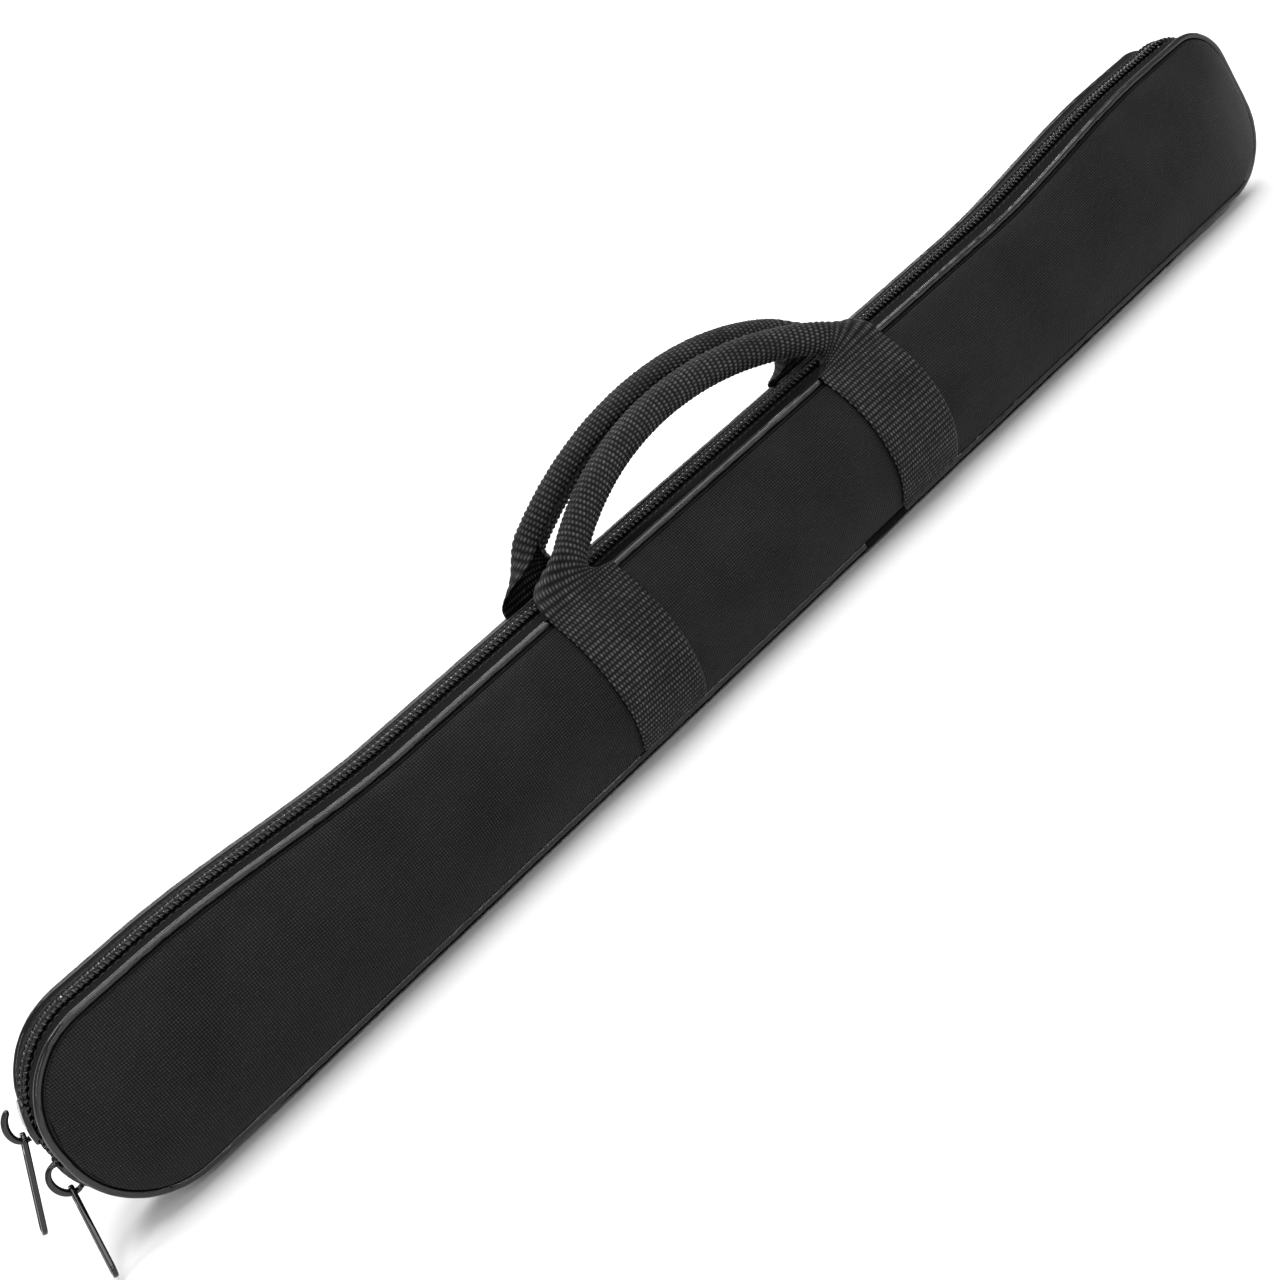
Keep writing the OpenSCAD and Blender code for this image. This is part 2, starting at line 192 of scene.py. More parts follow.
def base_line():
    bottom_x = np.linspace(LEFT_R - LEFT, RIGHT - RIGHT_LOW_R, 160)
    return np.concatenate([
        low_left(180 + STOP_LEFT, 270, 12),
        np.stack([bottom_x, bottom_x * 0 + BEAD_Z], 1)[1:-1],
        low_right(270, 360 - STOP_RIGHT, 12),
    ])


class Path:
    """A line in the XZ plane, read by distance along it, with its outward normal."""

    def __init__(self, points, outward=1):
        self.points = points
        steps = np.linalg.norm(np.diff(points, axis=0), axis=1)
        self.run = np.concatenate([[0], np.cumsum(steps)])
        self.length = self.run[-1]
        self.outward = outward

    def at(self, s):
        x = np.interp(s, self.run, self.points[:, 0])
        z = np.interp(s, self.run, self.points[:, 1])
        return x, z

    def normal(self, s, reach=1.2):
        x0, z0 = self.at(np.maximum(s - reach, 0))
        x1, z1 = self.at(np.minimum(s + reach, self.length))
        tx, tz = x1 - x0, z1 - z0
        size = np.hypot(tx, tz)
        return -tz / size * self.outward, tx / size * self.outward

    def place(self, s, y, out):
        """Points at distance s along, y across and out from the line."""
        x, z = self.at(s)
        nx, nz = self.normal(s)
        return np.stack([x + nx * out, y + 0 * x, z + nz * out], -1)


class ZipPath(Path):
    """The zip's line, with the cloth beside it rising to a low ridge along the top."""

    def place(self, s, y, out):
        x, _ = self.at(s)
        along = smooth((x + RIDGE_REACH) / RIDGE_FADE) * smooth((RIDGE_REACH - x) / RIDGE_FADE)
        across = 1 - smooth((np.abs(y) - RIDGE_CREST) / RIDGE_SLOPE)
        return super().place(s, y, out + RIDGE * along * across)


ZIP = ZipPath(zip_line())
BASE = Path(base_line(), -1)
LOOP = Path(np.concatenate([zip_line(), base_line()[::-1][1:-1], zip_line()[:1]]))


# ---- mesh building ----

def make_piece(name, verts, faces, material, uvs=None):
    """A mesh object from points in millimetres. uvs are one pair for each vertex, in millimetres."""
    mesh = bpy.data.meshes.new(name)
    mesh.from_pydata((np.asarray(verts, float).reshape(-1, 3) * MM).tolist(), [], faces)
    if uvs is not None:
        layer = mesh.uv_layers.new(name="cloth")
        loops = np.zeros(len(mesh.loops), int)
        mesh.loops.foreach_get("vertex_index", loops)
        layer.data.foreach_set("uv", np.asarray(uvs, float).reshape(-1, 2)[loops].ravel())
    mesh.validate()
    mesh.polygons.foreach_set("use_smooth", [True] * len(mesh.polygons))
    mesh.materials.append(material)
    obj = bpy.data.objects.new(name, mesh)
    bpy.context.scene.collection.objects.link(obj)
    return obj


def grid_faces(rows, cols, wrap_rows=False, wrap_cols=False, start=0, flip=False):
    """Quads over rows x cols points."""
    faces = []
    for i in range(rows if wrap_rows else rows - 1):
        for j in range(cols if wrap_cols else cols - 1):
            here, ahead = start + i * cols, start + (i + 1) % rows * cols
            beside = (j + 1) % cols
            quad = (here + j, ahead + j, ahead + beside, here + beside)
            faces.append(quad[::-1] if flip else quad)
    return faces


def ring_faces(n, m):
    """Quads along n rings of m points, with a face over each end."""
    return grid_faces(n, m, wrap_cols=True) + [tuple(range(m)), tuple(range((n - 1) * m, n * m))]


def face_out(obj):
    """Turns every face of a closed mesh outward."""
    mesh = bmesh.new()
    mesh.from_mesh(obj.data)
    bmesh.ops.recalc_face_normals(mesh, faces=mesh.faces)
    mesh.to_mesh(obj.data)
    mesh.free()
    return obj


def sheet_piece(name, outer, thick_to, material, uv):
    """A closed slab between two point grids of the same shape."""
    rows, cols = outer.shape[:2]
    count = rows * cols
    faces = grid_faces(rows, cols) + grid_faces(rows, cols, start=count, flip=True)
    edge = [i * cols for i in range(rows)]
    edge += [(rows - 1) * cols + j for j in range(1, cols)]
    edge += [i * cols + cols - 1 for i in range(rows - 2, -1, -1)]
    edge += [j for j in range(cols - 2, 0, -1)]
    for a, b in zip(edge, edge[1:] + edge[:1]):
        faces.append((a, b, count + b, count + a))
    verts = np.concatenate([outer.reshape(-1, 3), thick_to.reshape(-1, 3)])
    both = np.concatenate([uv.reshape(-1, 2), uv.reshape(-1, 2)])
    return face_out(make_piece(name, verts, faces, material, both))


def swept_piece(name, rings, material, uv, closed=False):
    """A body skinned over rings, an array of n x m x 3 points."""
    n, m = rings.shape[:2]
    faces = grid_faces(n, m, wrap_rows=True, wrap_cols=True) if closed else ring_faces(n, m)
    return face_out(make_piece(name, rings.reshape(-1, 3), faces, material, uv.reshape(-1, 2)))


def flat_uv(along, across):
    """Cloth coordinates of a grid, from its distances each way in millimetres."""
    return np.stack(np.meshgrid(along, across, indexing="ij"), -1)


def ring_uv(n, m, length, round_length):
    return flat_uv(np.linspace(0, length, n), np.linspace(0, round_length, m))


def copies(name, base_verts, base_faces, places, material):
    """One mesh of many copies. places holds an n x 4 x 4 array, in millimetres."""
    base = np.concatenate([base_verts, np.ones((len(base_verts), 1))], 1)
    verts = np.einsum("nij,vj->nvi", places, base)[:, :, :3].reshape(-1, 3)
    size = len(base_verts)
    faces = [tuple(i + k * size for i in f) for k in range(len(places)) for f in base_faces]
    return make_piece(name, verts, faces, material)


# ---- materials ----

class Nodes:
    """A short way to write a material's node tree."""

    def __init__(self, name):
        self.material = bpy.data.materials.new(name)
        self.material.use_nodes = True
        self.tree = self.material.node_tree
        self.shader = self.tree.nodes["Principled BSDF"]

    def add(self, kind, **settings):
        node = self.tree.nodes.new(kind)
        for key, value in settings.items():
            setattr(node, key, value)
        return node

    def link(self, source, target):
        self.tree.links.new(source, target)

    def feed(self, value, socket):
        if isinstance(value, (int, float, tuple)):
            socket.default_value = value
        else:
            self.link(value, socket)

    def math(self, operation, a, b=0.0, c=0.0):
        node = self.add("ShaderNodeMath", operation=operation)
        for value, socket in zip((a, b, c), node.inputs):
            self.feed(value, socket)
        return node.outputs[0]

    def noise(self, scale, detail=3.0, vector=None, rough=0.5):
        node = self.add("ShaderNodeTexNoise")
        node.inputs["Scale"].default_value = scale
        node.inputs["Detail"].default_value = detail
        node.inputs["Roughness"].default_value = rough
        self.link(vector if vector is not None else self.place(), node.inputs["Vector"])
        return node.outputs["Fac"]

    def place(self):
        return self.add("ShaderNodeTexCoord").outputs["Object"]

    def cloth_uv(self):
        split = self.add("ShaderNodeSeparateXYZ")
        self.link(self.add("ShaderNodeUVMap", uv_map="cloth").outputs[0], split.inputs[0])
        return split.outputs["X"], split.outputs["Y"]

    def stretched(self, sx, sy):
        """The cloth's own coordinates, scaled differently each way."""
        mapping = self.add("ShaderNodeMapping")
        mapping.inputs["Scale"].default_value = (sx, sy, 1.0)
        self.link(self.add("ShaderNodeUVMap", uv_map="cloth").outputs[0], mapping.inputs["Vector"])
        return mapping.outputs[0]

    def ramp(self, value, low, high, from_low=0.0, from_high=1.0):
        node = self.add("ShaderNodeMapRange")
        self.link(value, node.inputs["Value"])
        for key, number in zip(("From Min", "From Max", "To Min", "To Max"),
                               (from_low, from_high, low, high)):
            node.inputs[key].default_value = number
        return node.outputs[0]

    def tint(self, factor, dark, light):
        node = self.add("ShaderNodeMix", data_type="RGBA")
        self.link(factor, node.inputs["Factor"])
        node.inputs["A"].default_value = (*dark, 1)
        node.inputs["B"].default_value = (*light, 1)
        self.link(node.outputs["Result"], self.shader.inputs["Base Color"])

    def bump(self, height, distance):
        node = self.add("ShaderNodeBump")
        node.inputs["Strength"].default_value = 1.0
        node.inputs["Distance"].default_value = distance
        self.link(height, node.inputs["Height"])
        self.link(node.outputs[0], self.shader.inputs["Normal"])

    def set(self, **values):
        for key, value in values.items():
            self.feed(value, self.shader.inputs[key.replace("_", " ")])


def plain_weave(n, pitch_u, pitch_v):
    """Height of a plain weave in the cloth's coordinates, from 0 to 1: yarns pass over and under."""
    u, v = n.cloth_uv()
    a = n.math("DIVIDE", u, pitch_u)
    b = n.math("DIVIDE", v, pitch_v)
    across_a = n.math("ABSOLUTE", n.math("SINE", n.math("MULTIPLY", a, math.pi)))
    across_b = n.math("ABSOLUTE", n.math("SINE", n.math("MULTIPLY", b, math.pi)))
    turn_a = n.math("MULTIPLY", n.math("ADD", b, n.math("FLOOR", a)), math.pi)
    turn_b = n.math("MULTIPLY", n.math("ADD", n.math("ADD", a, 1.0), n.math("FLOOR", b)), math.pi)
    over_a = n.math("MULTIPLY_ADD", n.math("SINE", turn_a), 0.5, 0.5)
    over_b = n.math("MULTIPLY_ADD", n.math("SINE", turn_b), 0.5, 0.5)
    high_a = n.math("MULTIPLY", across_a, over_a)
    high_b = n.math("MULTIPLY", across_b, over_b)
    return n.math("MAXIMUM", high_a, high_b)


def cloth_material(name, pitch, dark, light, depth, rough=(0.5, 0.75), sheen=0.03, gloss=0.12):
    """Woven cloth: yarn relief, streaks along the yarns, a little dust and rubbing. Its colour follows the
    weave's height, which paints shade between the yarns and highlight specks on their tops.
    """
    n = Nodes(name)
    weave = plain_weave(n, pitch, pitch)
    streak = n.noise(1.0, 2.0, n.stretched(0.25, 2.2))
    patch = n.noise(38.0, 4.0)
    # painted shade: the colour darkens between the yarns, where the weave is low, and is lightest on the
    # yarn tops
    yarn = n.math("POWER", weave, 2.2)
    # lighter specks on the yarn tops: dust, and painted highlight specks
    dust_and_glints = n.ramp(n.noise(1.0, 1.0, n.stretched(1.3, 1.3)), 0.0, 0.75, 0.55, 0.8)
    streaks_with_painted_light = n.math("MULTIPLY", yarn, n.math("ADD", n.math("MULTIPLY_ADD", streak, 0.8, 0.25), dust_and_glints))
    rubbing_and_painted_light = n.math("MULTIPLY_ADD", n.ramp(patch, 0.0, 0.3, 0.35, 0.75), 0.5, streaks_with_painted_light)
    n.tint(n.math("MINIMUM", rubbing_and_painted_light, 1.0), dark, light)
    n.set(Roughness=n.ramp(weave, rough[1], rough[0]), Sheen_Weight=sheen, Sheen_Roughness=0.35,
          Specular_IOR_Level=gloss)
    n.bump(n.math("MULTIPLY_ADD", n.noise(2600.0, 2.0), 0.12, weave), depth * MM)
    return n.material


def vinyl_material(name):
    """Glossy vinyl piping with faint creases round the bead."""
    n = Nodes(name)
    creases = n.noise(1.0, 1.0, n.stretched(0.16, 0.1))
    scuffs = n.noise(45.0, 3.0)
    n.tint(scuffs, (0.002, 0.002, 0.0022), (0.007, 0.007, 0.0075))
    n.set(Roughness=n.ramp(scuffs, 0.09, 0.2, 0.3, 0.8), Specular_IOR_Level=0.45)
    n.bump(creases, 0.25 * MM)
    return n.material


def nylon_material(name, rough):
    """Moulded nylon of the coil: smooth, slightly streaked and dusty."""
    n = Nodes(name)
    specks = n.noise(900.0, 4.0)
    n.tint(specks, (0.002, 0.002, 0.0022), (0.008, 0.008, 0.0085))
    n.set(Roughness=n.ramp(specks, rough * 0.7, rough * 1.6, 0.3, 0.75), Specular_IOR_Level=0.5)
    n.bump(specks, 0.03 * MM)
    return n.material


def painted_metal_material(name):
    """Black lacquered zinc, with fine casting texture and small rubbed places."""
    n = Nodes(name)
    casting = n.noise(700.0, 4.0)
    rubs = n.noise(160.0, 6.0, rough=0.7)
    n.tint(n.ramp(rubs, 0.0, 1.0, 0.62, 0.8), (0.003, 0.003, 0.0032), (0.03, 0.03, 0.032))
    n.set(Roughness=n.ramp(casting, 0.1, 0.22, 0.3, 0.75), Specular_IOR_Level=0.5)
    n.bump(casting, 0.02 * MM)
    return n.material


def webbing_material(name):
    """Nylon webbing: each raised bump shows fine filaments. The colour follows the bumps' height: a painted
    highlight on their tops and painted shade in the darker hollows.
    """
    n = Nodes(name)
    filaments = n.noise(1.0, 3.0, n.stretched(0.8, 9.0))
    cross = n.noise(1.0, 2.0, n.stretched(6.0, 1.0))
    height = n.add("ShaderNodeAttribute", attribute_name="raised").outputs["Fac"]
    fuzz = n.noise(60.0, 4.0)
    mixed = n.math("MULTIPLY_ADD", filaments, 0.5, n.math("MULTIPLY_ADD", fuzz, 0.3, -0.25))
    # painted highlight on the bump tops and painted shade in the hollows, from the bumps' height
    n.tint(n.math("POWER", n.math("MULTIPLY", n.math("ADD", mixed, height), 0.86), 3.0),
           (0.0002, 0.0002, 0.00022), (0.13, 0.13, 0.134))
    n.set(Roughness=n.ramp(filaments, 0.3, 0.5), Specular_IOR_Level=0.1)
    n.bump(n.math("MULTIPLY_ADD", cross, 0.4, filaments), 0.12 * MM)
    return n.material


def foam_material(name):
    """Open-cell foam, with painted shade: the colour darkens in the cell hollows, where the bump is low."""
    n = Nodes(name)
    cells = n.add("ShaderNodeTexVoronoi")
    cells.inputs["Scale"].default_value = 1400.0
    n.link(n.place(), cells.inputs["Vector"])
    # painted shade in the cell hollows: the colour follows the same cell distance as the bump
    n.tint(cells.outputs["Distance"], (0.05, 0.05, 0.055), (0.16, 0.16, 0.17))
    n.set(Roughness=n.ramp(n.noise(90.0), 0.85, 0.98), Specular_IOR_Level=0.2)
    n.bump(cells.outputs["Distance"], 0.25 * MM)
    return n.material


def tape_material(name):
    """Zip tape: ribs along the zip, crossed by fine weft. The colour follows their height, with painted
    shade in the grooves.
    """
    n = Nodes(name)
    rib_pitch, weft_pitch = 0.75, 0.4
    u, v = n.cloth_uv()
    ribs = n.math("ABSOLUTE", n.math("SINE", n.math("MULTIPLY", v, math.pi / rib_pitch)))
    weft = n.math("ABSOLUTE", n.math("SINE", n.math("MULTIPLY", u, math.pi / weft_pitch)))
    height = n.math("MULTIPLY_ADD", weft, 0.35, ribs)
    # painted shade: the colour darkens in the grooves between ribs and weft, where the height is low
    n.tint(n.math("MULTIPLY", height, 0.7), (0.002, 0.002, 0.0022), (0.012, 0.012, 0.013))
    n.set(Roughness=n.ramp(n.noise(150.0), 0.5, 0.75), Sheen_Weight=0.03, Specular_IOR_Level=0.15)
    n.bump(height, 0.12 * MM)
    return n.material


def thread_material(name):
    """Twisted polyester thread."""
    n = Nodes(name)
    strands = n.noise(2400.0, 3.0)
    n.tint(strands, (0.003, 0.003, 0.0033), (0.018, 0.018, 0.019))
    n.set(Roughness=n.ramp(strands, 0.4, 0.65), Sheen_Weight=0.03, Specular_IOR_Level=0.3)
    n.bump(strands, 0.05 * MM)
    return n.material


SHELL = cloth_material("shell_fabric", 0.92, (0.0006, 0.0006, 0.0007), (0.032, 0.032, 0.0333), 0.26,
                       gloss=0.08)
GUSSET = cloth_material("gusset_fabric", 0.42, (0.001, 0.001, 0.0011), (0.010, 0.010, 0.0104), 0.05,
                        rough=(0.55, 0.75), sheen=0.0, gloss=0.04)
LINING = cloth_material("lining_cloth", 0.35, (0.008, 0.008, 0.0085), (0.035, 0.035, 0.037), 0.05,
                        rough=(0.32, 0.5), sheen=0.05, gloss=0.25)
VINYL = vinyl_material("piping_vinyl")
COIL = nylon_material("zip_coil", 0.16)
METAL = painted_metal_material("zip_metal")
WEBBING = webbing_material("webbing")
FOAM = foam_material("foam")
TAPE = tape_material("zip_tape")
THREAD = thread_material("sewing_thread")


# ---- camera, floor and lights ----

CAMERA_PLACE = (-0.29014, -0.58107, 0.25104)     # metres
CAMERA_TURN = (22.08, -19.26, -34.82)            # yaw, pitch and roll, in degrees
CAMERA_LENS, SENSOR = 53.44, 36.0


def add_camera():
    """The camera looks down along the case from its left front, rolled so that the case runs uphill."""
    data = bpy.data.cameras.new("camera")
    camera = bpy.data.objects.new("camera", data)
    bpy.context.scene.collection.objects.link(camera)
    data.sensor_width = SENSOR
    data.lens = CAMERA_LENS
    data.clip_start, data.clip_end = 0.02, 50.0
    yaw, pitch, roll = (math.radians(turn) for turn in CAMERA_TURN)
    forward = Vector((math.sin(yaw) * math.cos(pitch), math.cos(yaw) * math.cos(pitch), math.sin(pitch)))
    right = forward.cross(Vector((0, 0, 1))).normalized()
    up = right.cross(forward)
    turned = right * math.cos(roll) + up * math.sin(roll)
    turned_up = up * math.cos(roll) - right * math.sin(roll)
    place = Matrix((turned, turned_up, -forward)).transposed().to_4x4()
    place.translation = CAMERA_PLACE
    camera.matrix_world = place
    bpy.context.scene.camera = camera


def add_light(name, data, way):
    """A light that shines along a direction."""
    light = bpy.data.objects.new(name, data)
    bpy.context.scene.collection.objects.link(light)
    light.rotation_mode = "QUATERNION"
    light.rotation_quaternion = Vector(way).to_track_quat("-Z", "Y")
    return light


def add_area(name, place, aim, size, power):
    data = bpy.data.lights.new(name, "AREA")
    data.shape = "RECTANGLE"
    data.size, data.size_y = size
    data.energy = power
    add_light(name, data, Vector(aim) - Vector(place)).location = place


def add_world():
    """White near the level and greyer overhead, so that black gloss shows soft edges."""
    scene = bpy.context.scene
    scene.view_settings.view_transform = "Standard"
    scene.world = bpy.data.worlds.new("studio")
    scene.world.use_nodes = True
    tree = scene.world.node_tree
    background = tree.nodes["Background"]
    split = tree.nodes.new("ShaderNodeSeparateXYZ")
    rise = tree.nodes.new("ShaderNodeMapRange")
    tree.links.new(tree.nodes.new("ShaderNodeTexCoord").outputs["Generated"], split.inputs[0])
    tree.links.new(split.outputs["Z"], rise.inputs["Value"])
    for key, number in (("From Min", 0.12), ("From Max", 0.32), ("To Min", 1.1), ("To Max", 0.4)):
        rise.inputs[key].default_value = number
    background.inputs["Color"].default_value = (1, 1, 1, 1)
    tree.links.new(rise.outputs[0], background.inputs["Strength"])


def add_floor():
    mesh = bpy.data.meshes.new("floor")
    half = 60.0
    mesh.from_pydata([(-half, -half, 0), (half, -half, 0), (half, half, 0), (-half, half, 0)],
                     [], [(0, 1, 2, 3)])
    floor = bpy.data.objects.new("floor", mesh)
    bpy.context.scene.collection.objects.link(floor)
    n = Nodes("floor_paint")
    n.tint(n.noise(3.0, 2.0), (0.955, 0.955, 0.955), (0.97, 0.97, 0.97))
    n.set(Roughness=0.9, Specular_IOR_Level=0.1)
    mesh.materials.append(n.material)


def add_lights():
    sky = bpy.data.lights.new("overhead", "SUN")
    sky.energy = 2.1
    sky.angle = math.radians(50)
    add_light("overhead", sky, (-0.25, 0.3, -1))
    add_area("strip", (0.1, 0.75, 1.1), (0, 0, 0.05), (1.8, 0.06), 12)
    add_area("front_strip", (0.1, -1.7, 1.0), (0, 0, 0.05), (2.2, 0.06), 11)
    add_area("side", (-1.5, -0.9, 0.9), (-0.2, 0, 0.04), (0.06, 0.9), 4)


add_camera()
add_world()
add_floor()
add_lights()


# ---- placing pieces on either side ----

SIDES = {"front": ("lid", -1), "back": ("case_back", 1)}


def on_side(points, sign):
    """Points worked out for the back side (+Y), turned to the side wanted."""
    points = np.array(points, float)
    points[..., 1] *= sign
    return points


def settle(obj, body, slot, *nodes):
    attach(obj, body)
    if nodes:
        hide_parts(*nodes)
    return obj


# ---- padded panels ----

PANEL_COLUMNS = 150
CLOTH_T = 0.9
SIM_FRAMES = 20
START_CROWN = 0.94                   # the share of the crown that the cloth starts from
SLACK = 0.5                          # what the blown cloth falls short of the foam's crown
PRESSED = 0.15                       # how far a strap presses it in
SINK_CAP, SWELL_CAP = -0.35, 0.7     # the most that it may lie under and over the crown


def under_strap(x):
    """1 under a strap, 0 clear of it."""
    reach = np.abs(np.abs(x) - STRAP_MID)
    return 1 - smooth((reach - WEB_W / 2 - 0.5) / 5)


def panel_grid(columns, rows, inset):
    """X and Z of points over a side, closer together near its ends."""
    a = (1 - np.cos(np.linspace(0, math.pi, columns))) / 2
    even = np.linspace(0, 1, columns)
    x = (inset - LEFT) + (RIGHT + LEFT - 2 * inset) * (0.25 * a + 0.75 * even)
    x[0] += 0.02
    x[-1] -= 0.02
    v = (1 - np.cos(np.linspace(0, math.pi, rows))) / 2
    v = 0.5 * v + 0.5 * np.linspace(0, 1, rows)
    low, high = low_z(x, inset), high_z(x, inset)
    z = low[:, None] + (high - low)[:, None] * v[None, :]
    return np.repeat(x[:, None], rows, 1), z


def simulate_sheet(points, edge, seed):
    """Cloth blown up from a slightly smaller crown. Returns where each point ends up."""
    rows, cols = points.shape[:2]
    start = points.copy()
    noise = np.random.default_rng(seed).normal(0, 1.0, points.shape[:2])
    start[..., 1] += soften_grid(noise, 4) * (1 - edge)
    cloth = make_piece("cloth_work", start.reshape(-1, 3), grid_faces(rows, cols, flip=True), SHELL)
    group = cloth.vertex_groups.new(name="sewn")
    for index in np.nonzero(edge.ravel() > 0.5)[0].tolist():
        group.add([index], 1.0, "REPLACE")
    modifier = cloth.modifiers.new("Cloth", "CLOTH")
    settings = modifier.settings
    settings.quality = 8
    settings.mass = 0.25
    settings.tension_stiffness = settings.compression_stiffness = 22
    settings.shear_stiffness = 9
    settings.bending_stiffness = 1.2
    settings.use_pressure = True
    settings.uniform_pressure_force = 4.0
    settings.effector_weights.gravity = 0
    settings.vertex_group_mass = "sewn"
    modifier.point_cache.frame_start, modifier.point_cache.frame_end = 1, SIM_FRAMES
    scene = bpy.context.scene
    for number in range(1, SIM_FRAMES + 1):
        scene.frame_set(number)
    moved = cloth.evaluated_get(bpy.context.evaluated_depsgraph_get()).to_mesh()
    found = np.zeros(rows * cols * 3)
    moved.vertices.foreach_get("co", found)
    scene.frame_set(1)
    bpy.data.objects.remove(cloth)
    return found.reshape(rows, cols, 3) / MM


def refine(grid):
    """One subdivision of a point grid: a new point midway between each two."""
    for axis in (0, 1):
        middle = (np.take(grid, range(grid.shape[axis] - 1), axis)
                  + np.take(grid, range(1, grid.shape[axis]), axis)) / 2
        shape = list(grid.shape)
        shape[axis] = 2 * grid.shape[axis] - 1
        finer = np.zeros(shape)
        even = [slice(None)] * grid.ndim
        odd = [slice(None)] * grid.ndim
        even[axis], odd[axis] = slice(0, None, 2), slice(1, None, 2)
        finer[tuple(even)], finer[tuple(odd)] = grid, middle
        grid = finer
    return grid


def soften_grid(grid, passes):
    """Evens out a point grid's interior, keeping its edge."""
    for _ in range(passes):
        sides = grid[:-2, 1:-1] + grid[2:, 1:-1] + grid[1:-1, :-2] + grid[1:-1, 2:]
        inner = grid[1:-1, 1:-1] * 4 + 2 * sides
        corners = grid[:-2, :-2] + grid[2:, :-2] + grid[:-2, 2:] + grid[2:, 2:]
        grid = grid.copy()
        grid[1:-1, 1:-1] = (inner + corners) / 16
    return grid


def sheet_normals(points):
    du = np.gradient(points, axis=0)
    dv = np.gradient(points, axis=1)
    normal = np.cross(dv, du)
    return normal / np.maximum(np.linalg.norm(normal, axis=-1, keepdims=True), 1e-9)


def arc_uv(points):
    """Cloth coordinates: distance along each row and up each column, in millimetres."""
    along = np.linalg.norm(np.diff(points, axis=0), axis=-1)[:, points.shape[1] // 2]
    up = np.linalg.norm(np.diff(points, axis=1), axis=-1)
    u = np.concatenate([[0], np.cumsum(along)])
    v = np.concatenate([np.zeros((len(points), 1)), np.cumsum(up, axis=1)], axis=1)
    v = v - v[:, -1:] / 2
    return np.stack([np.repeat(u[:, None], points.shape[1], 1), v], -1)


def panel_surface(seed):
    """The outer face of a padded side as a point grid, on the +Y side."""
    x, z = panel_grid(PANEL_COLUMNS, 21, SEAM)
    rest = BEAD_Y + SKIN + swell(x, z)
    edge = np.zeros(x.shape)
    edge[0, :] = edge[-1, :] = edge[:, 0] = edge[:, -1] = 1
    points = np.stack([x, BEAD_Y + SKIN + START_CROWN * swell(x, z), z], -1)
    points = simulate_sheet(points, edge, seed)
    points[edge > 0.5] = np.stack([x, rest, z], -1)[edge > 0.5]
    home = BEAD_Y + SKIN + swell(points[..., 0], points[..., 2])
    blown = soften_grid(points[..., 1] - home, 2)
    held = under_strap(points[..., 0])
    blown = (blown + SLACK * (1 - edge)) * (1 - held) - PRESSED * held
    points[..., 1] = home + np.clip(blown, SINK_CAP, SWELL_CAP)
    return soften_grid(refine(points), 1)


def make_panel(side, seed):
    body, sign = SIDES[side]
    outer = panel_surface(seed)
    inner = outer - sheet_normals(outer) * CLOTH_T
    uv = arc_uv(outer)
    piece = sheet_piece(f"{side}_panel_cloth", on_side(outer, sign), on_side(inner, sign), SHELL, uv)
    settle(piece, body, "shell_fabric", f"{side}_panel")
    make_seam_roll(side)


def make_seam_roll(side):
    """The panel's edge where it rolls in beside the bead and closes the seam."""
    body, sign = SIDES[side]
    n, m = 1100, 12
    s = np.linspace(0, LOOP.length, n, endpoint=False)
    turn = full_turn(m)
    pucker = 0.05 * np.sin(s / 1.9) * np.sin(s / 23.0)
    out = -2.05 + 0.85 * np.sin(turn)[None, :] + 0 * s[:, None]
    y = BEAD_Y + 0.55 + (0.8 + pucker)[:, None] * np.cos(turn)[None, :]
    rings = LOOP.place(s[:, None], y, out)
    piece = swept_piece(f"{side}_panel_seam", on_side(rings, sign), SHELL,
                        ring_uv(n, m, LOOP.length, 5.2), closed=True)
    settle(piece, body, "shell_fabric")


def make_lining(side, seed):
    """The lining inside a side, closing on the panel at the seam."""
    body, sign = SIDES[side]
    x, z = panel_grid(PANEL_COLUMNS, 25, SEAM + 0.5)
    low, high = low_z(x, 0.0), high_z(x, 0.0)
    reach = np.minimum(np.minimum(z - low, high - z), np.minimum(x + LEFT, RIGHT - x))
    pad = 1.1 + (LINING_DEPTH - 1.1) * smooth((reach - 2.0) / 3.5)
    random = np.random.default_rng(seed)
    waves = sum(np.sin(x / (17 + 5 * k) + random.uniform(0, 6))
                * np.sin(z / (7 + 3 * k) + random.uniform(0, 6))
                for k in range(3))
    y = BEAD_Y + SKIN + swell(x, z) - pad - (0.3 + 0.12 * waves) * smooth((reach - 3) / 5)
    outer = np.stack([x, y, z], -1)
    inner = outer - np.array([0, 0.45, 0])
    piece = sheet_piece(f"{side}_lining_cloth", on_side(outer, sign), on_side(inner, sign), LINING,
                        arc_uv(outer))
    return settle(piece, body, "lining", f"{side}_lining")


# ---- piping ----

def make_piping(side, seed):
    """The vinyl bead, a little uneven round its cord."""
    body, sign = SIDES[side]
    n, m = 1500, 18
    s = np.linspace(0, LOOP.length, n, endpoint=False)
    random = np.random.default_rng(seed)
    uneven = sum(np.sin(s * f + random.uniform(0, 6)) for f in (0.31, 0.57, 1.13)) * 0.018
    turn = full_turn(m)
    radius = (BEAD_R - 0.03 + uneven)[:, None] + 0 * turn[None, :]
    y = BEAD_Y + radius * np.cos(turn)
    out = radius * np.sin(turn)
    rings = LOOP.place(s[:, None], y, out)
    piece = swept_piece(f"{side}_piping_bead", on_side(rings, sign), VINYL,
                        ring_uv(n, m, LOOP.length, 9.4), closed=True)
    return settle(piece, body, "piping_vinyl", f"{side}_piping")


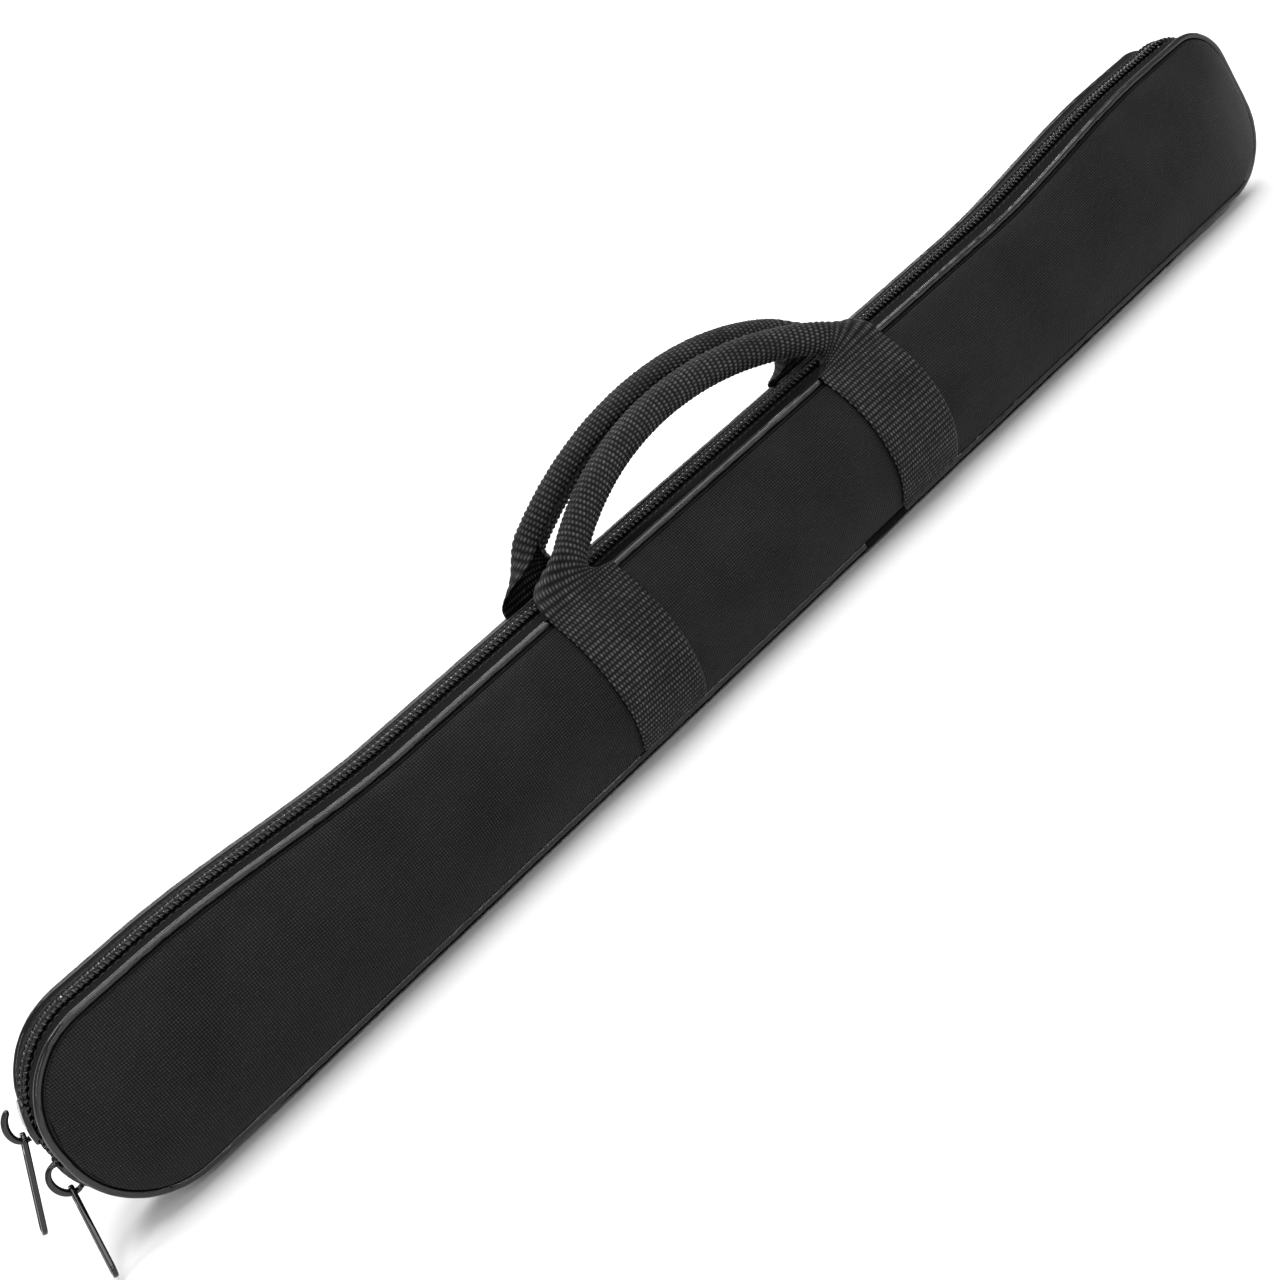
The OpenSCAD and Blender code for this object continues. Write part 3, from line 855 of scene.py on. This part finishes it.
def make_piping_join(side):
    """A tab of gusset cloth wrapped over the bead's cut ends."""
    body, sign = SIDES[side]
    low, high = node_box(f"{side}_piping_join")
    n, m = 40, 22
    x = np.linspace(low.x, high.x, n)
    turn = np.radians(np.linspace(-168, 30, m))
    lift = 0.28 + 0.07 * np.sin(x * 1.9)
    rings = []
    for r in (BEAD_R + lift, BEAD_R + lift - 0.25):
        y = BEAD_Y + r[:, None] * np.cos(turn)
        z = BEAD_Z + r[:, None] * np.sin(turn)
        rings.append(np.stack([np.repeat(x[:, None], m, 1), y, z], -1))
    uv = ring_uv(n, m, high.x - low.x, 6.0)
    piece = sheet_piece(f"{side}_piping_tab", on_side(rings[0], sign), on_side(rings[1], sign), GUSSET, uv)
    return settle(piece, body, "gusset_fabric", f"{side}_piping_join")


# ---- gusset, zip tape and coil ----

def stitch_shape(length, radius, lift):
    """One lockstitch: a short thread that dips into the cloth at both ends."""
    n, m = 7, 6
    t = np.linspace(0, 1, n)
    turn = full_turn(m)
    x = (t - 0.5) * length
    z = lift * np.sin(math.pi * t) - radius * 1.2 * np.abs(2 * t - 1) ** 4
    verts = np.stack([
        np.repeat(x[:, None], m, 1),
        radius * np.cos(turn)[None, :] + 0 * x[:, None],
        z[:, None] + radius * np.sin(turn)[None, :],
    ], -1).reshape(-1, 3)
    faces = grid_faces(n, m, wrap_cols=True) + [tuple(range(m))[::-1], tuple(range((n - 1) * m, n * m))]
    return verts, faces


def stitch_row(name, path, s_from, s_to, y, out, pitch, sign, body, slot, length=2.1, radius=0.2):
    """Stitches along a path at one place across it."""
    s = np.arange(s_from, s_to, pitch)
    centre = path.place(s, y, out)
    nx, nz = path.normal(s)
    places = np.zeros((len(s), 4, 4))
    places[:, 0, 0], places[:, 2, 0] = nz, -nx
    places[:, 1, 1] = 1
    places[:, 0, 2], places[:, 2, 2] = nx, nz
    places[:, :3, 3] = on_side(centre, sign)
    places[:, 3, 3] = 1
    verts, faces = stitch_shape(length, radius, 0.16)
    return settle(copies(name, verts, faces, places, THREAD), body, slot)


def make_gusset_strip(side):
    """The strip beside the zip: cloth from the piping's seam to a folded edge, with its stitching."""
    body, sign = SIDES[side]
    n = 700
    s = np.linspace(0, ZIP.length, n)
    across = np.linspace(SEWN_Y, STRIP_IN, 15)
    t = (across - STRIP_IN) / (SEWN_Y - STRIP_IN)
    crown = 0.72 + 0.28 * np.sin(math.pi * np.clip(t * 1.15, 0, 1)) - 0.25 * smooth((0.12 - t) / 0.12)
    ripple = 0.05 * np.sin(s[:, None] / 9.0 + 1.3) * np.sin(math.pi * t)[None, :]
    outer = ZIP.place(s[:, None], across[None, :], crown[None, :] + ripple)
    under = ZIP.place(s[:, None], across[None, :], 0 * crown[None, :] + 0.02)
    uv = flat_uv(s, across)
    piece = sheet_piece(f"{side}_gusset_cloth", on_side(outer, sign), on_side(under, sign), GUSSET, uv)
    settle(piece, body, "gusset_fabric", f"{side}_gusset_strip")
    stitch_row(f"{side}_gusset_stitches", ZIP, 4, ZIP.length - 4, 7.4, 0.94, 2.9, sign, body,
               "gusset_fabric")


def make_zip_tape(side):
    """The tape that carries one half of the coil."""
    body, sign = SIDES[side]
    s = np.linspace(0, ZIP.length, 500)
    across = np.linspace(10.0, 0.5, 12)
    top = -0.12 + 0 * across
    top[-1] = -0.3
    outer = ZIP.place(s[:, None], across[None, :], top[None, :])
    under = ZIP.place(s[:, None], across[None, :], -0.68 + 0 * across[None, :])
    uv = flat_uv(s, across)
    piece = sheet_piece(f"{side}_tape", on_side(outer, sign), on_side(under, sign), TAPE, uv)
    return settle(piece, body, "zip_tape", f"{side}_zip_tape")


def make_coil(side):
    """One half of the nylon coil: a flattened helix, its heads reaching past the middle to mesh."""
    body, sign = SIDES[side]
    turns = int((ZIP.length - 6) / TOOTH_PITCH)
    per_turn, m = 16, 6
    n = turns * per_turn
    phase = 0.0 if sign < 0 else 0.5
    t = np.arange(n) / per_turn
    angle = 2 * math.pi * t
    s = 3 + (t + phase) * TOOTH_PITCH
    flat = 0.62
    cy, cz = np.cos(angle), np.sin(angle)
    y = COIL_MID - COIL_HALF * squarish(cy, flat)
    out = COIL_OUT + COIL_RISE * squarish(cz, flat)
    bulge = 0.43 + 0.12 * smooth((cy - 0.55) / 0.45)
    line = ZIP.place(s, y, out)
    run = unit(np.gradient(line, axis=0))
    side_way = unit(np.cross(run, np.array([0.3, 0.2, 0.93])))
    other_way = np.cross(run, side_way)
    turn = full_turn(m)
    rings = (line[:, None, :] + bulge[:, None, None]
             * (np.cos(turn)[None, :, None] * side_way[:, None, :]
                + np.sin(turn)[None, :, None] * other_way[:, None, :]))
    piece = swept_piece(f"{side}_coil_teeth", on_side(rings, sign), COIL, ring_uv(n, m, n * 0.7, 2.2))
    settle(piece, body, "zip_coil", f"{side}_coil")
    make_coil_core(side, phase)


def make_coil_core(side, phase):
    """The cord that fills the coil, and the two rows of thread that sew it to the tape."""
    body, sign = SIDES[side]
    s = np.linspace(3, ZIP.length - 3, 500)
    around = full_turn(12)
    y = 2.0 + 1.45 * np.cos(around)[None, :]
    out = 1.28 + 0.4 * np.sin(around)[None, :]
    filler = ZIP.place(s[:, None], y, out)
    cord = swept_piece(f"{side}_coil_filler", on_side(filler, sign), THREAD,
                       ring_uv(500, 12, ZIP.length, 6.0))
    settle(cord, body, "zip_tape")
    for row, y_row in (("inner", 1.9), ("outer", 3.2)):
        stitch_row(f"{side}_coil_thread_{row}", ZIP, 3.4 + phase * TOOTH_PITCH, ZIP.length - 4, y_row, 2.36,
                   TOOTH_PITCH, sign, body, "zip_tape", length=TOOTH_PITCH * 0.98, radius=0.16)


def rounded_block(sx, sy, sz, bevel, segments=3):
    """Vertices and faces of a block with rounded edges."""
    mesh = bmesh.new()
    bmesh.ops.create_cube(mesh, size=1.0, matrix=Matrix.Diagonal((sx, sy, sz, 1)))
    bmesh.ops.bevel(mesh, geom=mesh.edges[:], offset=bevel, segments=segments, affect="EDGES", profile=0.5)
    verts = np.array([v.co for v in mesh.verts])
    faces = [tuple(v.index for v in f.verts) for f in mesh.faces]
    mesh.free()
    return verts, faces


def make_stops(side):
    """A crimped stop over the last teeth at each end of the coil."""
    body, sign = SIDES[side]
    places = []
    for s in (1.6, ZIP.length - 1.6):
        nx, nz = ZIP.normal(np.array([s]))
        centre = ZIP.place(np.array([s]), 2.05, 1.1)[0]
        place = np.eye(4)
        place[:3, 0] = (nz[0], 0, -nx[0])
        place[:3, 2] = (nx[0], 0, nz[0])
        place[:3, 3] = on_side(centre, sign)
        places.append(place)
    verts, faces = rounded_block(2.9, 3.1, 2.9, 0.7)
    piece = copies(f"{side}_end_stops", verts, faces, np.array(places), METAL)
    return settle(piece, body, "zip_metal", f"{side}_zip_stops")


# ---- sliders and pulls ----

# each slider's arc: centre, place on it in degrees above level, and which way its nose points
SLIDERS = {"upper": (BEAD_Z + END_H - LEFT_R, 17.0, -1), "lower": (BEAD_Z + LEFT_R, -13.0, 1)}
SLIDER_LEN, SLIDER_W = 15.0, 10.4
PLATE_LOW, PLATE_TOP = (-3.3, -2.2), (2.4, 3.6)
HOOK_MID, HOOK_HALF, HOOK_RISE = 0.7, 5.7, 4.3
LOOP_LIFT = 0.8
HOOK_START = {"upper": 22, "lower": -27}     # the upper slider's hook stands open at its top
PULL_W, PULL_T, RAIL_W = 5.6, 1.7, 1.6


def slider_outline(n, nose):
    """Outline of a slider's plate: round at the tail, shouldered and notched at the nose."""
    a = full_turn(n)
    c, s = np.cos(a), np.sin(a)
    u = SLIDER_LEN / 2 * squarish(c, 0.75)
    taper = 0.90 + 0.10 * np.tanh(u * nose / 2.5)
    v = SLIDER_W / 2 * squarish(s, 0.6) * taper
    notch = 1.3 * np.exp(-(v / 1.3) ** 2) * (u * nose > SLIDER_LEN * 0.25)
    return u - notch * nose, v


def plate_body(outline, heights):
    """A closed plate from one outline, drawn in by a scale at each height, bent to the arc."""
    u, v = outline
    rings = []
    for scale, w in heights:
        uu, vv = u * scale, v * (1 - (1 - scale) * 1.35)
        rings.append(np.stack([uu, vv, w - (LEFT_R - np.sqrt(LEFT_R ** 2 - uu ** 2))], -1))
    rings = np.array(rings)
    return rings.reshape(-1, 3), ring_faces(*rings.shape[:2])


def wall_body(nose, side, w0, w1):
    """A flange along one side of a plate, reaching from the plate towards the tape."""
    u = np.linspace(-SLIDER_LEN * 0.40, SLIDER_LEN * 0.34, 15)
    v = SLIDER_W / 2 * (0.90 + 0.10 * np.tanh(u / 2.5)) - 0.5
    thick = 0.42 * np.sqrt(np.clip(1 - (2 * (u - u[0]) / (u[-1] - u[0]) - 1) ** 8, 0.15, 1))
    turn = full_turn(12)
    c, s = np.cos(turn), np.sin(turn)
    across = squarish(c, 0.5)
    up = squarish(s, 0.5)
    drop = LEFT_R - np.sqrt(LEFT_R ** 2 - u ** 2)
    rings = np.stack([
        np.repeat((u * nose)[:, None], 12, 1),
        side * (v[:, None] + thick[:, None] * across[None, :]),
        (w0 + w1) / 2 - drop[:, None] + (w1 - w0) / 2 * up[None, :],
    ], -1)
    return rings.reshape(-1, 3), ring_faces(*rings.shape[:2])


def lug_body(start):
    """The hook over the top plate that the pull hangs on: thick at its crown, thin at its feet."""
    a = np.radians(np.linspace(start, 194, 41))
    u = HOOK_MID + HOOK_HALF * np.cos(a)
    w = PLATE_TOP[1] + LOOP_LIFT + HOOK_RISE * np.sin(a)
    foot = smooth((np.abs(np.degrees(a) - 90) - 94) / 10)
    crown = np.clip(np.sin(a), 0, 1)
    tip = np.sqrt(clamp01((np.degrees(a) - start) / 9)) if start > 0 else 1 + 0 * a
    turn = full_turn(16)
    c, s = np.cos(turn), np.sin(turn)
    across = ((1.3 + 0.6 * foot) * (0.25 + 0.75 * tip))[:, None] * squarish(c, 0.7)[None, :]
    deep = ((0.7 + 0.5 * crown) * (0.2 + 0.8 * tip))[:, None] * squarish(s, 0.7)[None, :]
    rings = np.stack([
        u[:, None] + deep * np.cos(a)[:, None],
        across,
        w[:, None] + deep * np.sin(a)[:, None],
    ], -1)
    return rings.reshape(-1, 3), ring_faces(*rings.shape[:2])


def post_body(nose):
    """The divider between the two channels at the nose."""
    a = full_turn(16)
    u = nose * SLIDER_LEN * 0.30 + 1.5 * np.cos(a)
    v = 0.42 * np.sin(a)
    rings = np.array([np.stack([u, v, 0 * u + w], -1) for w in (PLATE_LOW[1] - 0.6, PLATE_TOP[0] + 0.2)])
    return rings.reshape(-1, 3), ring_faces(*rings.shape[:2])


def make_slider(name):
    """Slider body: two bent plates with flanges, the divider, and the hook for the pull."""
    centre_z, place, nose = SLIDERS[name]
    outline = slider_outline(72, nose)
    low, top = PLATE_LOW, PLATE_TOP
    bodies = [
        plate_body(outline, [(0.5, top[0]), (0.95, top[0]), (1.0, top[0] + 0.25), (1.0, top[1] - 0.45),
                             (0.975, top[1] - 0.15), (0.92, top[1] - 0.02), (0.5, top[1])]),
        plate_body(outline, [(0.5, low[0]), (0.93, low[0]), (1.0, low[0] + 0.3), (1.0, low[1] - 0.2),
                             (0.96, low[1]), (0.5, low[1])]),
        lug_body(HOOK_START[name]),
        post_body(nose),
    ]
    for side in (-1, 1):
        bodies.append(wall_body(nose, side, 1.15, top[0] + 0.4))
        bodies.append(wall_body(nose, side, low[1] - 0.4, -1.3))
    verts, faces, start = [], [], 0
    for points, quads in bodies:
        verts.append(points)
        faces += [tuple(i + start for i in quad) for quad in quads]
        start += len(points)
    points = np.concatenate(verts)
    a = math.radians(place)
    out = np.array([-math.cos(a), 0, math.sin(a)])
    up = np.array([math.sin(a), 0, math.cos(a)])
    centre = np.array([LEFT_R - LEFT, 0, centre_z]) + LEFT_R * out
    placed = centre + points[:, :1] * up + points[:, 1:2] * np.array([0, 1, 0]) + points[:, 2:3] * out
    piece = face_out(make_piece(f"{name}_slider_body", placed, faces, METAL))
    settle(piece, f"{name}_slider", "zip_metal", f"{name}_slider")
    sharpen(piece, 40)


def plate_axes(name):
    """A flat CAD plate's centre, length, width and thickness directions, and its size along them."""
    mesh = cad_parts[name].data
    points = np.zeros(len(mesh.vertices) * 3)
    mesh.vertices.foreach_get("co", points)
    points = np.unique(np.round(points.reshape(-1, 3) / MM, 3), axis=0)
    _, _, axes = np.linalg.svd(points - points.mean(0), full_matrices=False)
    spread = points @ axes.T
    low, high = spread.min(0), spread.max(0)
    return (low + high) / 2 @ axes, axes, high - low


def make_pull(name):
    """A pull tag: two rails round a long slot, a bar across under the eye."""
    centre, axes, size = plate_axes(f"{name}_pull")
    long_way, wide_way, thick_way = axes
    if long_way[2] < 0:
        long_way = -long_way
    half = size[0] / 2 - PULL_W / 2
    r = PULL_W / 2 - RAIL_W / 2
    bend = np.linspace(0, math.pi, 20)
    top = np.stack([half + r * np.sin(bend), -r * np.cos(bend)], 1)
    run = np.linspace(half, -half, 24)[1:-1]
    line = np.concatenate([top, np.stack([run, 0 * run + r], 1), -top, np.stack([-run, 0 * run - r], 1)])
    ahead = unit(np.roll(line, -1, 0) - np.roll(line, 1, 0))
    out = np.stack([ahead[:, 1], -ahead[:, 0]], 1)
    turn = full_turn(16)
    c, s = np.cos(turn), np.sin(turn)
    aside = RAIL_W / 2 * squarish(c, 0.6)
    thick = PULL_T / 2 * squarish(s, 0.6)
    flat = line[:, None, :] + aside[None, :, None] * out[:, None, :]
    rings = (centre + flat[..., :1] * long_way + flat[..., 1:] * wide_way
             + thick[None, :, None] * thick_way)
    n, m = rings.shape[:2]
    verts, faces = rings.reshape(-1, 3), grid_faces(n, m, wrap_rows=True, wrap_cols=True)
    bar, bar_faces = rounded_block(1.9, 2 * r + 0.2, PULL_T * 0.86, 0.35)
    bar_at = centre + (half - 3.2) * long_way
    placed = bar_at + bar[:, :1] * long_way + bar[:, 1:2] * wide_way + bar[:, 2:] * thick_way
    faces = faces + [tuple(i + len(verts) for i in face) for face in bar_faces]
    piece = face_out(make_piece(f"{name}_pull_tag", np.concatenate([verts, placed]), faces, METAL))
    settle(piece, f"{name}_pull", "zip_metal", f"{name}_pull")
    sharpen(piece, 50)


def sharpen(obj, degrees):
    """Smooth shading that keeps the corners sharper than this angle."""
    bpy.context.view_layer.objects.active = obj
    obj.select_set(True)
    bpy.ops.object.shade_smooth_by_angle(angle=math.radians(degrees))
    obj.select_set(False)


# ---- bottom ----

def base_sag(x):
    fade = smooth((np.minimum(x + LEFT, RIGHT - x) - 20) / 50)
    return 0.3 + (BASE_SAG - 0.3) * fade


def make_base():
    """The gusset under the case, which sags a little between the pipings, and its lining."""
    s = np.linspace(0, BASE.length, 420)
    across = np.linspace(-SEWN_Y, SEWN_Y, 25)
    x, _ = BASE.at(s)
    share = 1 - smooth((np.abs(across) - STRIP_IN) / (SEWN_Y - STRIP_IN))
    drop = base_sag(x)[:, None] * share[None, :]
    crease = 0.10 * np.sin(x / 13.0)[:, None] * np.sin(across / 4.0)[None, :] * share[None, :]
    out = 1.0 + np.clip(drop + 0.5 * share - np.abs(crease), 0, drop + 0.5)
    out = np.minimum(out, 1.5 + base_sag(x)[:, None])
    outer = BASE.place(s[:, None], across[None, :], out)
    inner = BASE.place(s[:, None], across[None, :], out - 0.95)
    uv = flat_uv(s, across)
    piece = sheet_piece("bottom_gusset_cloth", outer, inner, GUSSET, uv)
    settle(piece, "case_back", "gusset_fabric", "bottom_gusset")
    edge = BEAD_Y - 1.6
    across = np.linspace(-edge, edge, 21)
    share = 1 - smooth((np.abs(across) - 7) / (edge - 7))
    depth = 1.1 + 3.2 * smooth((edge - np.abs(across)) / 2.5)
    out = base_sag(x)[:, None] * share[None, :] * 0.92 + 0.9 - depth[None, :]
    top = BASE.place(s[:, None], across[None, :], out)
    under = BASE.place(s[:, None], across[None, :], out - 0.5)
    uv = flat_uv(s, across)
    lining = sheet_piece("bottom_lining_cloth", top, under, LINING, uv)
    settle(lining, "case_back", "lining", "bottom_lining")


# ---- webbing straps and handles ----

RIB_PITCH, BUMP_PITCH = 2.0, 1.2
RELIEF = 0.55                        # how far a bump stands up
WEB_STEP, WEB_COLUMNS = 0.36, 121    # the mesh's spacing along the webbing, and points across it
PICK_ROWS, PICK_COLUMNS = 997, 61    # the bumps' own heights repeat after this many


def bezier(a, b, c, d, u):
    u = u[:, None]
    return (1 - u) ** 3 * a + 3 * u * (1 - u) ** 2 * b + 3 * u * u * (1 - u) * c + u ** 3 * d


def strap_face(z):
    return np.maximum(BEAD_Y + BEAD_R + 0.3, BEAD_Y + SKIN + 0.2 + swell(0 * z, z))


def webbing_line(h, lean):
    """Half of a handle's webbing, from the foot of its left strap to the middle of the grip.
    Returns each station's place, the way it faces and its curl."""
    z0, z1 = BEAD_Z + BEAD_R + 0.6, FOLD_Z - 1
    z = np.linspace(z0, z1, 60)
    y = strap_face(z) + WEB_T / 2
    strap = np.stack([z * 0 - STRAP_MID, y, z], 1)
    a = np.array([-STRAP_MID, 0.4])
    d = np.array([-GRIP_HALF, h - GRIP_ARCH])
    way = np.array([math.cos(GRIP_ANGLE), math.sin(GRIP_ANGLE)])
    u = np.linspace(0, 1, 30)
    fold = bezier(a, a + np.array([0, 6.0]), d - 6.0 * way, d, u)
    t = np.radians(np.linspace(-math.degrees(GRIP_ANGLE), 0, 60))[1:]
    arch = np.stack([GRIP_BEND * np.sin(t), h - GRIP_BEND + GRIP_BEND * np.cos(t)], 1)
    upright = np.concatenate([fold, arch])
    curl = np.concatenate([strap[:, 0] * 0, smooth(u), t * 0 + 1])
    c, s = math.cos(lean), math.sin(lean)
    leaning = np.stack([upright[:, 0], FOLD_Y - upright[:, 1] * s, FOLD_Z + upright[:, 1] * c], 1)
    line = np.concatenate([strap, leaning])
    facing_strap = np.stack([y * 0, np.gradient(z), -np.gradient(y)], 1)
    facing_handle = np.repeat([[0, c, s]], len(upright), 0)
    return line, unit(np.concatenate([facing_strap, facing_handle])), curl


def resample(line, facing, curl, step):
    run = np.concatenate([[0], np.cumsum(np.linalg.norm(np.diff(line, axis=0), axis=1))])
    s = np.linspace(0, run[-1], int(run[-1] / step) + 1)

    def read(values):
        return np.stack([np.interp(s, run, values[:, k]) for k in range(values.shape[1])], 1)

    kernel = np.ones(9) / 9

    def soften(values):
        padded = np.concatenate([np.repeat(values[:1], 4, 0), values, np.repeat(values[-1:], 4, 0)])
        return np.stack([np.convolve(padded[:, k], kernel, "valid") for k in range(values.shape[1])], 1)

    return s, soften(read(line)), unit(soften(read(facing))), np.interp(s, run, curl)


def make_handle(side):
    """One length of webbing: up one strap, curled round the grip's core and down the other strap."""
    body, sign = SIDES[side]
    h = GRIP_H[side]
    lean = math.asin((FOLD_Y - GRIP_R - 0.2) / h)
    line, facing, curl = webbing_line(h, lean)
    mirror = np.array([-1, 1, 1])
    line = np.concatenate([line, (line * mirror)[::-1][1:]])
    facing = np.concatenate([facing, (facing * mirror)[::-1][1:]])
    curl = np.concatenate([curl, curl[::-1][1:]])
    s, line, facing, curl = resample(line, facing, curl, WEB_STEP)
    run = unit(np.gradient(line, axis=0))
    wide = unit(np.cross(run, facing))
    facing = np.cross(wide, run)

    curl_r = GRIP_R - WEB_T / 2
    bend = np.maximum(0.0005, curl / curl_r)[:, None]
    across = np.linspace(-0.5, 0.5, WEB_COLUMNS) * WEB_W
    a = across[None, :] * bend
    rows = s[:, None] / RIB_PITCH
    row = np.floor(rows)
    column = across[None, :] / BUMP_PITCH + 0.5 * (row % 2)
    rib = np.abs(np.sin(math.pi * rows)) ** 1.1
    bump = np.abs(np.sin(math.pi * column)) ** 1.2
    heights = np.random.default_rng(51).uniform(0.72, 1.0, (PICK_ROWS, PICK_COLUMNS))
    pick = heights[row.astype(int) % PICK_ROWS, np.floor(column).astype(int) % PICK_COLUMNS]
    raised = rib * (0.15 + 0.85 * bump) * pick
    edge = smooth((WEB_W / 2 - np.abs(across)) / 1.2)[None, :]
    relief = RELIEF * raised * edge
    layers = []
    for way in (1, -1):
        thick = (WEB_T / 2 - 0.38) * (0.55 + 0.45 * edge) + (relief if way > 0 else 0.3 * relief)
        r = 1 / bend + way * thick
        flat_out = curl_r * curl[:, None] - 1 / bend + r * np.cos(a)
        points = (line[:, None, :] + (r * np.sin(a))[..., None] * wide[:, None, :]
                  + flat_out[..., None] * facing[:, None, :])
        layers.append(on_side(points, sign))
    uv = flat_uv(s, across)
    piece = sheet_piece(f"{side}_handle_strap", *layers, WEBBING, uv)
    # the bumps' height, which the webbing's colour turns into painted highlight and painted shade
    both = np.concatenate([raised.ravel(), raised.ravel()]).astype(np.float32)
    attribute = piece.data.attributes.new("raised", "FLOAT", "POINT")
    attribute.data.foreach_set("value", both)
    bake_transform(piece)
    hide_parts(f"{side}_left_strap", f"{side}_right_strap", f"{side}_handle_webbing")


# ---- carried-over CAD nodes ----

def finish_cad_nodes():
    """The foam and the grips' cores stay as the CAD has them, with a real finish."""
    for name in ("front_foam", "back_foam", "bottom_foam", "front_handle_core", "back_handle_core"):
        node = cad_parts[name]
        node.data.materials.clear()
        node.data.materials.append(FOAM)


for number, side in enumerate(SIDES):
    make_panel(side, 21 + number)
    make_lining(side, 31 + number)
    make_piping(side, 41 + number)
    make_piping_join(side)
    make_gusset_strip(side)
    make_zip_tape(side)
    make_coil(side)
    make_stops(side)
    make_handle(side)
make_base()
for name in SLIDERS:
    make_slider(name)
    make_pull(name)
finish_cad_nodes()
